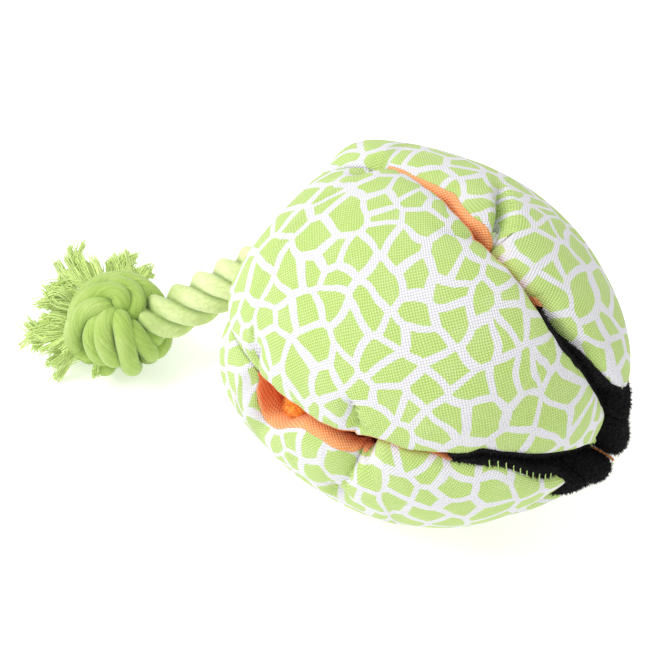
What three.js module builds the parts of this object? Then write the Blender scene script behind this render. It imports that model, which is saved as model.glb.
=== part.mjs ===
// Melon-shaped treat toy. Five padded petals fold on a sewn cup and close over a hollow for treats,
// held at their tips by hook and loop tape. A knotted tug rope leaves the cup at the stem.
// Millimetres, +Z up. The melon's axis lies along X with the stem at -X, and the toy rests at the origin.
import * as THREE from "three";

const deg = THREE.MathUtils.degToRad;

// Ball
const ballRadius = 73; // across the axis, at the crown of the petals
const axisHalf = 88; // along the axis, from the middle to where the petals' round would end
const stemDepth = 61; // from the middle to the stem, where the rope draws the ball in
const stemRound = 10; // how sharply the drawn-in stem end turns into the round: more is sharper
const restSink = 4.5; // how far the soft ball flattens where it lies
const wallThickness = 18; // padded wall, from printed cover to lining
const coverThickness = 1.2;
const liningThickness = 1.2;
const layerGap = 0.3; // between two layers that lie on each other
const petalCount = 5;
const rootAngle = deg(65); // from the stem to the fold line of the petals
const pillowPower = 3.2; // roundness of a petal's cross-section: 2 is an ellipse
const seamTurn = deg(25); // where cover and lining meet, round the cross-section from the middle of the side

// Petal tips
const flapHalfWidth = 17; // the closing petal stays this wide close to its tip
const flapOverlap = 15; // how far the closing petal reaches past the axis
const flapSink = 6; // how far the closing petal's tip lies below the others
const flapRounding = deg(18); // length of its rounded tip
const tipRounding = deg(28); // length of the other petals' rounded tips, on a side next to the closing petal
const tipCorner = deg(5); // and on a side away from it
const tipEdge = 1.2; // half width at the very end of a tip

// Slits between the petals
const slitWidth = 1.2; // least gap between neighbours
const flareStart = deg(128); // from the stem, where the gap at the tips begins to grow

// Hook and loop tape on the sides of the petals
const tapeThickness = 1.3;
const tapeStart = deg(138); // from the stem

// Fleece pulp strips inside
const pulpWidth = 22;
const pulpThickness = 5;
const pulpSeat = 0.9; // from the round of the lining, whose flats stand in a little
const pulpStart = deg(52); // from the stem
const pulpEnd = deg(88);

// Tug rope
const ropeDiameter = 17;
const ropeReach = [-61.8, -49]; // from the pivot to the middle of the knot, in X and Y
const ropeLeave = [0.3, -4.5]; // where the rope heads from the pivot: share of the reach, and rise
const ropeArrive = [0.6, -7]; // where it comes to the knot from: share of the reach, and rise over the knot
const knotRadius = 24;
const knotSquash = 0.9; // the knot is this much shorter along the rope
const knotStrands = 7; // strand ridges that show round the knot
const strandHeight = 2.6; // how far a strand ridge stands out
const lockHalf = { width: deg(12), height: 7 }; // of a lock of the frayed end
const anchorRadius = 15; // knot inside the cup

// Locks of the frayed end, from -X towards +Y round the knot: where, how far out from its middle,
// and how high there
const tasselLocks = [
  { turn: deg(-60), reach: 31, rise: -13 },
  { turn: deg(-39), reach: 38, rise: -9 },
  { turn: deg(-14), reach: 43, rise: 0 },
  { turn: deg(13), reach: 45, rise: 4 },
  { turn: deg(56), reach: 41, rise: 3 },
  { turn: deg(76), reach: 36, rise: 0 },
];

// Worked out from the driving dimensions
const sector = (2 * Math.PI) / petalCount;
const ropeRadius = ropeDiameter / 2;
const centre = new THREE.Vector3(0, 0, ballRadius - restSink);
const tapeRoom = 2 * (tapeThickness + layerGap);
const flapTip = Math.PI + flapOverlap / ballRadius;
const tipRing = flapHalfWidth + tapeRoom;
const ringTip = Math.PI - Math.asin(tipRing / ballRadius);

// Each slit gapes most at one place: how wide, how far from the stem, over what lengths on both sides of
// that, the share of the gape that is taken from the petal before it, the extra gap at the tips, and how
// far the tips stand proud there. Its line leans towards the petal after it, by so many millimetres at
// each angle from the stem.
const frontSlit = {
  ...{ gape: 21, at: deg(73.5), toStem: deg(4.5), toTip: deg(14), shareBefore: 0, flare: 4, proud: 3 },
  lean: [[70, 9], [100, 10], [117, 3.5], [150, 0]],
};
const topSlit = {
  ...{ gape: 2, at: deg(102), toStem: deg(20), toTip: deg(12), shareBefore: 1, flare: 4, proud: 3 },
  lean: [[68, -12.6], [97, -7.6], [118, -1], [130, 1.5], [150, 0]],
};
const hiddenSlit = {
  ...{ gape: 4, at: deg(98), toStem: deg(18), toTip: deg(14), shareBefore: 0.5, flare: 0, proud: 0.5 },
  lean: [[90, 0]],
};
const acrossSlit = { ...hiddenSlit, proud: 13 }; // across from the closing petal
const slits = [frontSlit, hiddenSlit, acrossSlit, hiddenSlit, topSlit];

// The petals in turn from the top of the ball towards -Y. The first one closes over the others.
const petals = slits.map((slitAfter, i) => ({
  name: `petal_${i + 1}`,
  azimuth: (i + 0.5) * sector,
  slitBefore: slits[(i + petalCount - 1) % petalCount],
  slitAfter,
  closes: i === 0,
}));

// Materials
const material = (color, roughness) => new THREE.MeshStandardMaterial({ color, roughness, metalness: 0 });
const printedCover = material(0xb4d76c, 0.85);
const orangeLining = material(0xf0a265, 0.8);
const batting = material(0xf2f1ec, 0.95);
const blackTape = material(0x121112, 0.95);
const yellowFleece = material(0xfba93a, 1);
const greenCotton = material(0xb7dd6c, 0.9);

// Shaping functions
const clamp01 = (x) => THREE.MathUtils.clamp(x, 0, 1);
const ease = (from, to, x) => THREE.MathUtils.smoothstep(x, from, to);
const bell = (x) => Math.exp(-x * x);
const signedPower = (x, power) => Math.sign(x) * Math.abs(x) ** power;
const onKnots = (knots, angle) => {
  const next = knots.findIndex(([at]) => deg(at) > angle);
  if (next < 1) return knots.at(next)[1];
  const [[from, low], [to, high]] = knots.slice(next - 1, next + 1);
  return THREE.MathUtils.mapLinear(angle, deg(from), deg(to), low, high);
};
const steps = (from, to, count) =>
  Array.from({ length: count + 1 }, (_, i) => THREE.MathUtils.lerp(from, to, i / count));

// Skins loops of equal length into one closed solid. The loops close on themselves as a ring,
// or end in caps: "fan" for a round loop, "strip" for a flat loop of two facing rows.
function skin(loops, ends) {
  const size = loops[0].length;
  const positions = loops.flat().flatMap((p) => p.toArray());
  const index = [];
  const corner = (i) => loops[Math.floor(i / size)][i % size];
  const apart = (a, b) => corner(a).distanceTo(corner(b));
  const quad = (a, b, c, d) => {
    const shorter = apart(a, c) < apart(b, d) - 1e-6 ? [a, b, c, a, c, d] : [a, b, d, b, c, d];
    index.push(...shorter);
  };
  const turns = ends === "ring" ? loops.length : loops.length - 1;
  for (let i = 0; i < turns; i++) {
    const here = i * size;
    const next = ((i + 1) % loops.length) * size;
    for (let j = 0; j < size; j++) {
      const k = (j + 1) % size;
      quad(here + j, here + k, next + k, next + j);
    }
  }
  const cap = (first, turned) => {
    const place = (...corners) => index.push(...(turned ? corners.reverse() : corners));
    if (ends === "fan") {
      const middle = positions.length / 3;
      const loop = loops[first / size];
      const mean = loop.reduce((sum, p) => sum.add(p), new THREE.Vector3()).divideScalar(size);
      positions.push(...mean.toArray());
      for (let j = 0; j < size; j++) place(middle, first + ((j + 1) % size), first + j);
      return;
    }
    for (let j = 0; j < size / 2 - 1; j++) {
      const across = size - 1 - j;
      place(first + j, first + across, first + across - 1);
      place(first + j, first + across - 1, first + j + 1);
    }
  };
  if (ends !== "ring") {
    cap(0, false);
    cap((loops.length - 1) * size, true);
  }
  const geometry = new THREE.BufferGeometry();
  geometry.setAttribute("position", new THREE.Float32BufferAttribute(positions, 3));
  geometry.setIndex(enclosedVolume(positions, index) < 0 ? index.reverse() : index);
  geometry.computeVertexNormals();
  return geometry;
}

function enclosedVolume(positions, index) {
  const corner = (i) => new THREE.Vector3().fromArray(positions, 3 * index[i]);
  let volume = 0;
  for (let i = 0; i < index.length; i += 3) {
    volume += corner(i).dot(corner(i + 1).cross(corner(i + 2))) / 6;
  }
  return volume;
}

// A closed slab between two facing grids of points.
const slab = (outer, inner) => skin(outer.map((row, i) => [...row, ...inner[i].toReversed()]), "strip");

// The point under the ball's surface in a direction from its middle. Where the ball lies on the floor,
// it is pressed flat, no lower than the given height.
function underSurface(direction, depth, lift = 0, lowest = depth) {
  const unit = direction.clone().normalize();
  const round = Math.hypot(unit.x / axisHalf, unit.y / ballRadius, unit.z / ballRadius);
  const drawnIn = Math.max(-unit.x, 0) / stemDepth;
  const reach = (round ** stemRound + drawnIn ** stemRound) ** (-1 / stemRound);
  const point = unit.multiplyScalar(reach + lift - depth).add(centre);
  point.z = Math.max(point.z, lowest);
  return point;
}

// Directions from the ball's middle: along the axis from the stem, and round it from the top towards -Y.
const roundAxis = (angle) => new THREE.Vector3(0, -Math.sin(angle), Math.cos(angle));
function fromStem(angle, azimuth) {
  return roundAxis(azimuth).multiplyScalar(Math.sin(angle)).add(new THREE.Vector3(-Math.cos(angle), 0, 0));
}

// Petals. A place on a petal is an angle along its middle line from the stem, and an angle to the side
// of that line. The side angle of a slit's line is found by repeating, because its lean goes by the
// angle from the stem.
function slitSide(slit, angle, leanSign) {
  let polar = angle;
  let side = 0;
  for (let i = 0; i < 8; i++) {
    const lean = onKnots(slit.lean, polar) / (ballRadius * Math.sin(polar));
    side = Math.atan(Math.tan(sector / 2 + leanSign * lean) * Math.sin(angle));
    polar = Math.acos(Math.cos(angle) * Math.cos(side));
  }
  return side;
}

// The room that a slit takes from one petal at an angle along that petal.
function slitRoom(slit, angle, share) {
  const gape = slit.gape * bell((angle - slit.at) / (angle < slit.at ? slit.toStem : slit.toTip));
  const flare = slit.flare * ease(flareStart, flareStart + deg(25), angle);
  const tape = tapeRoom * ease(tapeStart - deg(10), tapeStart, angle);
  return share * (gape + flare) + (slitWidth + tape) / 2;
}

// Half widths of a petal on both sides of its middle line, inset from its outline.
function petalEdges(petal, angle, inset) {
  const edge = (slit, share, leanSign) => {
    const wedge = ballRadius * slitSide(slit, angle, leanSign) - slitRoom(slit, angle, share);
    const width = petal.closes ? Math.max(wedge, flapHalfWidth) : wedge;
    const besideFlap = slit.flare ? tipRounding : tipCorner;
    const rounding = petal.closes ? flapRounding : besideFlap;
    const along = clamp01((angle - tipAngle(petal, inset) + rounding) / rounding);
    return Math.max((width - inset) * (1 - along ** 2.2) ** (1 / 2.2), tipEdge);
  };
  return {
    before: edge(petal.slitBefore, 1 - petal.slitBefore.shareBefore, -1),
    after: edge(petal.slitAfter, petal.slitAfter.shareBefore, 1),
  };
}

// A point of the padded cross-section: turn 0 is the middle of the side after, 90 degrees the crown.
function petalPoint(petal, angle, turn, inset, sideInset = inset) {
  const { before, after } = petalEdges(petal, angle, sideInset);
  const power = 2 / pillowPower;
  const halfWidth = (after + before) / 2;
  const side = ((after - before) / 2 + halfWidth * signedPower(Math.cos(turn), power)) / ballRadius;
  const half = wallThickness / 2;
  const depth = half - (half - inset) * signedPower(Math.sin(turn), power);
  const shareAfter = clamp01(0.5 + Math.atan(Math.tan(side) / Math.sin(Math.min(angle, ringTip))) / sector);
  const proud = THREE.MathUtils.lerp(petal.slitBefore.proud, petal.slitAfter.proud, shareAfter);
  const lift = petal.closes
    ? -flapSink * ease(deg(128), flapTip, angle)
    : proud * ease(deg(130), ringTip, angle);
  const middle = fromStem(angle, petal.azimuth).multiplyScalar(Math.cos(side));
  const sideways = roundAxis(petal.azimuth + Math.PI / 2).multiplyScalar(Math.sin(side));
  const lowest = Math.sin(turn) > 0 ? inset : depth;
  return underSurface(middle.add(sideways), depth, lift, lowest);
}

// Angles along a petal from its fold line to the start of the tape, and on to its tip, closer together there.
const tipAngle = (petal, inset) => (petal.closes ? flapTip : ringTip) - inset / ballRadius;

function tapeRows(petal, inset) {
  const tip = tipAngle(petal, inset);
  return steps(0, 1, 7).map((u) => THREE.MathUtils.lerp(tapeStart, tip, 1.5 * u - 0.5 * u ** 3));
}

function petalRows(petal, inset) {
  const start = rootAngle + layerGap / ballRadius;
  return [...steps(start, tapeStart, 9).slice(0, -1), ...tapeRows(petal, inset)];
}

function petalGrid(petal, rows, turns, inset, sideInset = inset) {
  return rows.map((angle) => turns.map((turn) => petalPoint(petal, angle, turn, inset, sideInset)));
}

// Turns of the cross-section that the cover takes, and those of the lining, with a seam between them.
const seamClear = (2 * layerGap) / wallThickness;
const coverTurns = steps(seamTurn, Math.PI - seamTurn, 10);
const liningTurns = steps(seamTurn - seamClear, -Math.PI - seamTurn + seamClear, 10);

function petalCover(petal) {
  const grid = (inset) => petalGrid(petal, petalRows(petal, inset), coverTurns, inset);
  return slab(grid(0), grid(coverThickness));
}

function petalLining(petal) {
  const grid = (inset) => petalGrid(petal, petalRows(petal, inset), liningTurns, inset);
  return slab(grid(0), grid(liningThickness));
}

function petalPadding(petal) {
  const inset = Math.max(coverThickness, liningThickness) + layerGap;
  const turns = [...coverTurns, ...liningTurns.slice(1, -1).toReversed()];
  return skin(petalGrid(petal, petalRows(petal, inset), turns, inset), "strip");
}

// Tape over the lining on one side of a petal and half of its inner face, from part-way along its edge
// to just short of its tip.
function petalTape(petal, turns) {
  const rows = tapeRows(petal, 0).slice(0, -1);
  const grid = (out) => petalGrid(petal, rows, turns, -out);
  return slab(grid(layerGap + tapeThickness), grid(layerGap));
}

// Cup: the part of the ball that stays sewn up. Its seams run from the slits to the stem.
const stemReach = centre.distanceTo(underSurface(fromStem(0, 0), 0));
const cupColumns = [-1, -0.9, -0.6, -0.2, 0.2, 0.6, 0.9]; // across a sector, closer together at its seams
const cupRows = 8; // from the stem hole to the fold line

function seamDepth(angle, across) {
  const groove = THREE.MathUtils.lerp(2.5, wallThickness / 2, ease(deg(25), rootAngle, angle));
  const pillow = (1 - Math.min(Math.abs(across), 0.985) ** pillowPower) ** (1 / pillowPower);
  return groove * (1 - pillow);
}

// A layer of the cup between two depths. Only the cover and the padding's top follow the seams.
function cupLayer(top, bottom, grooved) {
  const loops = petals.flatMap((petal) =>
    cupColumns.map((across) => {
      const azimuth = petal.azimuth + (across * sector) / 2;
      const rim = Math.atan(Math.tan(rootAngle) / Math.cos((across * sector) / 2));
      const row = (depth, follows) => {
        const [hole, surfaceHole] = [depth, 0].map((d) => Math.atan((ropeRadius + layerGap) / (stemReach - d)));
        const angles = [hole, ...steps(surfaceHole, rim, cupRows).slice(1)];
        return angles.map((angle) => {
          const groove = follows ? seamDepth(angle, across) : 0;
          return underSurface(fromStem(angle, azimuth), depth + groove);
        });
      };
      return [...row(top, grooved), ...row(bottom, grooved && bottom < wallThickness / 2).toReversed()];
    }),
  );
  return skin(loops, "ring");
}

const cupCover = () => cupLayer(0, coverThickness, true);
const cupPadding = () => {
  const bottom = wallThickness - liningThickness - layerGap;
  return cupLayer(coverThickness + layerGap, bottom, true);
};
const cupLining = () => cupLayer(wallThickness - liningThickness, wallThickness, false);

// A fleece strip sewn to the cup's lining behind a slit, lying along the inside of the wall.
function pulpStrip(azimuth) {
  const top = wallThickness + pulpSeat;
  const half = pulpWidth / 2 / (ballRadius - top);
  const row = (angle, depth) => {
    const end = 1 - ease(pulpEnd - deg(14), pulpEnd, angle);
    const reach = half * (0.35 + 0.65 * Math.sqrt(end));
    return steps(-reach, reach, 4).map((side) => {
      const swell = 1 - 0.5 * (side / reach) ** 2;
      const under = depth > top ? top + (depth - top) * swell : depth;
      return underSurface(fromStem(angle, azimuth + side / Math.sin(angle)), under);
    });
  };
  const rows = steps(pulpStart, pulpEnd, 6);
  return slab(rows.map((angle) => row(angle, top)), rows.map((angle) => row(angle, top + pulpThickness)));
}

// Tug rope. It pivots where it leaves the stem, drops to the floor and ends in a knot with a frayed tail.
const pivot = new THREE.Vector3(-(stemReach + layerGap + ropeRadius), 0, centre.z);
const knotCentre = new THREE.Vector3(pivot.x + ropeReach[0], pivot.y + ropeReach[1], knotRadius);
const ropeHandle = ([share, rise], level) =>
  new THREE.Vector3().lerpVectors(pivot, knotCentre, share).setZ(level.z + rise);
const ropeLine = new THREE.CubicBezierCurve3(
  pivot,
  ropeHandle(ropeLeave, pivot),
  ropeHandle(ropeArrive, knotCentre),
  knotCentre,
);

// A ring of points square to a direction.
function ring(middle, direction, radius, sides, shape = () => 1) {
  const across = new THREE.Vector3(0, 0, 1).cross(direction).normalize();
  const up = direction.clone().cross(across).normalize();
  return steps(0, 2 * Math.PI, sides)
    .slice(1)
    .map((turn) => {
      const reach = radius * shape(turn);
      return middle
        .clone()
        .addScaledVector(across, reach * Math.cos(turn))
        .addScaledVector(up, reach * Math.sin(turn));
    });
}

// How far along it the rope meets the knot, found by halving.
function ropeStop() {
  const axis = ropeLine.getTangentAt(1);
  const toKnot = (t) => knotCentre.clone().sub(ropeLine.getPointAt(t)).dot(axis);
  let [far, near] = [0, 1];
  for (let i = 0; i < 20; i++) {
    const half = (far + near) / 2;
    if (toKnot(half) > knotRadius * knotSquash + layerGap) far = half;
    else near = half;
  }
  return far;
}

// The rope's root is a ball round the pivot, so that it turns against the stem without lifting off.
// Its other end is square to the knot.
function tugRope() {
  const sides = 12;
  const start = ropeLine.getTangent(0);
  const ball = steps(deg(-82), deg(-8), 4).map((lean) => {
    const middle = pivot.clone().addScaledVector(start, ropeRadius * Math.sin(lean));
    return ring(middle, start, ropeRadius * Math.cos(lean), sides);
  });
  const stop = ropeStop();
  const run = steps(0, stop, 10).map((t) =>
    ring(ropeLine.getPointAt(t), ropeLine.getTangentAt(t === stop ? 1 : t), ropeRadius, sides),
  );
  return skin([...ball, ...run], "fan");
}

// The stopper knot: strands wind over a ball, flattened along the rope.
function stopperKnot() {
  const axis = ropeLine.getTangentAt(1);
  const rings = steps(deg(-84), deg(84), 12).map((lean) => {
    const crest = (turn) => Math.abs(Math.cos((knotStrands * (turn + lean)) / 2));
    const strand = (turn) => 1 - (strandHeight / knotRadius) * (1 - crest(turn));
    const middle = knotCentre.clone().addScaledVector(axis, knotRadius * knotSquash * Math.sin(lean));
    return ring(middle, axis, knotRadius * Math.cos(lean), 4 * knotStrands, strand);
  });
  return skin(rings, "fan");
}

// The frayed end: locks of yarn spread round the far side of the knot and lie close to it.
function tassel() {
  const seat = knotRadius + 2 * layerGap;
  const { width, height } = lockHalf;
  const loops = steps(tasselLocks[0].turn - width, tasselLocks.at(-1).turn + width, 30).map((turn) => {
    const shares = tasselLocks.map((lock) => bell((turn - lock.turn) / width));
    const reaches = tasselLocks.map((lock, i) => THREE.MathUtils.lerp(seat + 4, lock.reach, shares[i]));
    const reach = Math.max(...reaches);
    const wholeShare = shares.reduce((a, b) => a + b);
    const rise = tasselLocks.reduce((sum, lock, i) => sum + lock.rise * shares[i], 0) / wholeShare;
    const at = (out, up) => new THREE.Vector3(-Math.cos(turn) * out, Math.sin(turn) * out, up).add(knotCentre);
    const onKnot = (up) => at(Math.sqrt(seat ** 2 - up ** 2), up);
    const middle = (seat + reach) / 2;
    return [
      ...[onKnot(height), onKnot(0), onKnot(-height)],
      ...[at(middle, rise / 2 - height), at(reach, rise - 0.7 * height), at(reach + 1, rise)],
      ...[at(reach, rise + 0.7 * height), at(middle, rise / 2 + height)],
    ];
  });
  return skin(loops, "fan");
}

// Inside the cup the rope ends in a second knot, which keeps it from pulling out.
const anchorFlat = 0.8; // it is pulled flat against the wall by this much
const holeRadius = ropeRadius + layerGap;
const anchorAtHole = anchorFlat * Math.sqrt(anchorRadius ** 2 - holeRadius ** 2);
const anchorX = -(stemReach - wallThickness) + layerGap + anchorAtHole;

function ropeCore() {
  const outer = -stemReach;
  const inner = anchorX - anchorFlat * anchorRadius - layerGap;
  const core = new THREE.CylinderGeometry(ropeRadius, ropeRadius, inner - outer, 16);
  return core.rotateZ(Math.PI / 2).translate((inner + outer) / 2, 0, centre.z);
}

function anchorKnot() {
  const along = new THREE.Vector3(1, 0, 0);
  const rings = steps(deg(-84), deg(84), 8).map((lean) => {
    const strand = (turn) => 1 - 0.1 * (1 - Math.abs(Math.cos((5 * (turn + lean)) / 2)));
    const middle = new THREE.Vector3(anchorX + anchorFlat * anchorRadius * Math.sin(lean), 0, centre.z);
    return ring(middle, along, anchorRadius * Math.cos(lean), 20, strand);
  });
  return skin(rings, "fan");
}

// Assembly
const toy = new THREE.Group();
const add = (name, geometry, finish) => {
  const mesh = new THREE.Mesh(geometry, finish);
  mesh.name = name;
  toy.add(mesh);
};

add("cup_cover", cupCover(), printedCover);
add("cup_padding", cupPadding(), batting);
add("cup_lining", cupLining(), orangeLining);
add("rope_core", ropeCore(), greenCotton);
add("anchor_knot", anchorKnot(), greenCotton);
petals.forEach((petal, i) => {
  add(`${petal.name}_cover`, petalCover(petal), printedCover);
  add(`${petal.name}_padding`, petalPadding(petal), batting);
  add(`${petal.name}_lining`, petalLining(petal), orangeLining);
  add(`${petal.name}_hook_tape`, petalTape(petal, liningTurns.slice(0, 6)), blackTape);
  add(`${petal.name}_loop_tape`, petalTape(petal, liningTurns.slice(-6)), blackTape);
  add(`pulp_strip_${i + 1}`, pulpStrip((i + 1) * sector), yellowFleece);
});
add("tug_rope", tugRope(), greenCotton);
add("stopper_knot", stopperKnot(), greenCotton);
add("tassel", tassel(), greenCotton);

export default toy;
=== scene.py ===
import math

import bpy
import numpy as np
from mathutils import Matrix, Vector, noise


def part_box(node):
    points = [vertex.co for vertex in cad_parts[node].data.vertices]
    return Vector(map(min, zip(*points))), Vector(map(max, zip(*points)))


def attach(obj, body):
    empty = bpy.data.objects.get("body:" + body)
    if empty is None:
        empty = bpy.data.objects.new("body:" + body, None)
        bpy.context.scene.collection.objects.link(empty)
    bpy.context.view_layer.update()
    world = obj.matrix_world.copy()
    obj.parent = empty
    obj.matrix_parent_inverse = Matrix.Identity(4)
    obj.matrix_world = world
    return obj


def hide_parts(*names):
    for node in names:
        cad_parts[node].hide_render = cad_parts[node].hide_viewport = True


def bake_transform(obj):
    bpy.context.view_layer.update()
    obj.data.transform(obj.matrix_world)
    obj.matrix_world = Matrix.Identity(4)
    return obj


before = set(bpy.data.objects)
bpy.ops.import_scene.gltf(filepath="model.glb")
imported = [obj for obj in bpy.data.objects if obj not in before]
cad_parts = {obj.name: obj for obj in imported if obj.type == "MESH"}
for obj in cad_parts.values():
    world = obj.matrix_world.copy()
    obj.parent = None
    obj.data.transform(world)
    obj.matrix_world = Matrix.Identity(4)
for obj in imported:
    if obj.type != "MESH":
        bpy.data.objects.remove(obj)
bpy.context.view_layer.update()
scene = bpy.context.scene
mm = 0.001  # shapes are worked out in millimetres, meshes are made in metres
print("frame loaded:", len(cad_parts), "nodes")


# Camera at the photograph's place. The ball's middle falls on its pixel of the photograph.
photoView = {
    "azimuth": 41.0,
    "elevation": 46.4,
    "distance": 0.55,
    "focalPixels": 1374.0,
    "frameSize": 665,
    "ballPoint": (0.0, 0.0, 0.0695),
    "ballPixel": (416.5, 333.8),
}


def cameraAxes(view):
    az = math.radians(view["azimuth"])
    el = math.radians(view["elevation"])
    right = Vector((math.cos(az), math.sin(az), 0))
    back = Vector((math.sin(az) * math.cos(el), -math.cos(az) * math.cos(el), math.sin(el)))
    return right, back.cross(right), back


def addCamera(view):
    right, up, back = cameraAxes(view)
    half = view["frameSize"] / 2
    offRight = view["ballPixel"][0] - half
    offDown = view["ballPixel"][1] - half
    toBall = (right * offRight - up * offDown - back * view["focalPixels"]).normalized()
    data = bpy.data.cameras.new("photoCamera")
    data.lens = data.sensor_width * view["focalPixels"] / view["frameSize"]
    data.clip_start = 0.01
    camera = bpy.data.objects.new("photoCamera", data)
    scene.collection.objects.link(camera)
    camera.location = Vector(view["ballPoint"]) - toBall * view["distance"]
    camera.rotation_mode = "QUATERNION"
    camera.rotation_quaternion = (-back).to_track_quat("-Z", "Y")
    scene.camera = camera


addCamera(photoView)
print("camera placed")


# Small shaping functions, on numbers and arrays alike
def ease(low, high, x):
    t = np.clip((x - low) / (high - low), 0, 1)
    return t * t * (3 - 2 * t)


def bell(x):
    return np.exp(-x * x)


def signedPower(x, power):
    return np.sign(x) * np.abs(x) ** power


def unitRows(vectors):
    return vectors / np.maximum(np.linalg.norm(vectors, axis=-1, keepdims=True), 1e-9)


# Length along a line of points, from its first
def lengthAlong(line):
    return np.concatenate([[0], np.cumsum(np.linalg.norm(np.diff(line, axis=0), axis=1))])


# Shader helpers: a Wire is one socket, and sums of wires add their Math nodes
class Wire:
    def __init__(self, finish, socket):
        self.finish = finish
        self.socket = socket

    def maths(self, operation, first, second):
        return self.finish.node("ShaderNodeMath", {"operation": operation}, {0: first, 1: second})

    def __add__(self, other):
        return self.maths("ADD", self, other)

    def __sub__(self, other):
        return self.maths("SUBTRACT", self, other)

    def __mul__(self, other):
        return self.maths("MULTIPLY", self, other)

    def __radd__(self, other):
        return self.maths("ADD", other, self)


class Finish:
    def __init__(self, name, roughness, sheen=0.0):
        self.material = bpy.data.materials.new(name)
        self.material.use_nodes = True
        self.tree = self.material.node_tree
        self.shader = self.tree.nodes["Principled BSDF"]
        self.shader.inputs["Roughness"].default_value = roughness
        self.shader.inputs["Sheen Weight"].default_value = sheen
        self.shader.inputs["Specular IOR Level"].default_value = 0.25

    # Makes a node: its settings come first, then the values or wires of its sockets
    def node(self, kind, settings, sockets, output=0):
        made = self.tree.nodes.new(kind)
        for key, value in settings.items():
            setattr(made, key, value)
        for key, value in sockets.items():
            if isinstance(value, Wire):
                self.tree.links.new(value.socket, made.inputs[key])
            else:
                made.inputs[key].default_value = value
        return Wire(self, made.outputs[output])

    def mix(self, factor, first, second):
        sockets = {0: factor, 6: first, 7: second}
        return self.node("ShaderNodeMix", {"data_type": "RGBA"}, sockets, output=2)

    def ramp(self, value, low, high):
        sockets = {"Value": value, "From Min": low, "From Max": high}
        return self.node("ShaderNodeMapRange", {"interpolation_type": "SMOOTHSTEP"}, sockets)

    def sine(self, value):
        return self.node("ShaderNodeMath", {"operation": "SINE"}, {0: value})

    def place(self, name, output=1):
        return self.node("ShaderNodeAttribute", {"attribute_name": name}, {}, output)

    def spot(self):
        return self.node("ShaderNodeTexCoord", {}, {}, output=3)

    def parts(self, vector):
        first = self.node("ShaderNodeSeparateXYZ", {}, {0: vector})
        return [Wire(self, output) for output in first.socket.node.outputs]

    def vector(self, operation, first, second):
        return self.node("ShaderNodeVectorMath", {"operation": operation}, {0: first, 1: second})

    def noise(self, vector, scale, detail=2.0, output=0):
        sockets = {"Vector": vector, "Scale": scale, "Detail": detail}
        return self.node("ShaderNodeTexNoise", {}, sockets, output)

    def colour(self, wire):
        self.tree.links.new(wire.socket, self.shader.inputs["Base Color"])

    def roughness(self, least, wire, more):
        self.tree.links.new((least + wire * more).socket, self.shader.inputs["Roughness"])

    def relief(self, height, distance, strength=1.0):
        sockets = {"Height": height, "Distance": distance, "Strength": strength}
        bump = self.node("ShaderNodeBump", {}, sockets)
        self.tree.links.new(bump.socket, self.shader.inputs["Normal"])


# Woven oxford cloth: a fine basket weave on the cloth's own place, in millimetres
weave = {"pitch": 1.45, "relief": (0.0002, 0.9)}


def weaveWire(finish, place):
    x, y, _ = finish.parts(place)
    turn = 2 * math.pi / weave["pitch"]
    return finish.sine(x * turn) * finish.sine(y * turn)


# Cloudy wear over a cloth's colour, with its roughness and the relief of its weave
def wornColour(finish, cloth, place, threads, colour):
    cloudy = finish.noise(place, cloth["cloud"], detail=3.0)
    finish.roughness(cloth["smoothest"], cloudy, 0.2)
    finish.relief(threads, *weave["relief"])
    return finish.mix(finish.ramp(cloudy, *cloth["wearing"]) * cloth["wear"], colour, cloth["worn"])


netPrint = {
    "green": (0.455, 0.640, 0.150, 1),
    "greenThread": (0.760, 0.880, 0.450, 1),
    "greenDots": 0.85,
    "white": (0.800, 0.795, 0.830, 1),
    "whiteThread": (0.600, 0.600, 0.655, 1),
    "whiteDots": 0.7,
    "dots": (0.1, 0.85),
    "cell": 12.2,
    "scatter": 0.82,
    "line": (0.108, 0.138),
    "warpLength": 30.0,
    "warpReach": 9.0,
    "shift": (137.0, 61.0, 0.0),  # from one petal's print to the next, in millimetres
    "cloud": 0.09,
    "worn": (0.80, 0.86, 0.62, 1),
    "wear": 0.12,
    "wearing": (0.35, 0.8),
    "smoothest": 0.56,
}


def makeCoverFinish(net):
    finish = Finish("printedCover", roughness=0.62, sheen=0.12)
    place = finish.place("clothPlace")
    swirl = finish.noise(place, 1 / net["warpLength"], detail=1.0, output=1)
    swirl = finish.vector("SUBTRACT", swirl, (0.5, 0.5, 0.5))
    swirl = finish.vector("MULTIPLY", swirl, (2 * net["warpReach"],) * 3)
    bent = finish.vector("ADD", place, swirl)
    cells = {"Vector": bent, "Scale": 1 / net["cell"], "Randomness": net["scatter"]}
    edges = {"voronoi_dimensions": "2D", "feature": "DISTANCE_TO_EDGE"}
    inCell = finish.ramp(finish.node("ShaderNodeTexVoronoi", edges, cells), *net["line"])
    threads = weaveWire(finish, place)
    dots = finish.ramp(threads, *net["dots"])
    green = finish.mix(dots * net["greenDots"], net["green"], net["greenThread"])
    white = finish.mix(dots * net["whiteDots"], net["white"], net["whiteThread"])
    finish.colour(wornColour(finish, net, place, threads, finish.mix(inCell, white, green)))
    return finish.material


orangeCloth = {
    "orange": (0.940, 0.360, 0.120, 1),
    "thread": (1.000, 0.730, 0.470, 1),
    "threadShare": 0.85,
    "dots": (0.1, 0.9),
    # painted shade: the darker orange laid on the lining where it lies in shadow, and how much of it is laid
    # on
    "paintedShadeOrange": (0.74, 0.115, 0.018, 1),
    "paintedShadeShare": 0.85,
    "cloud": 0.07,
    "worn": (0.95, 0.40, 0.14, 1),
    "wear": 0.25,
    "wearing": (0.3, 0.8),
    "smoothest": 0.52,
}


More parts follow.
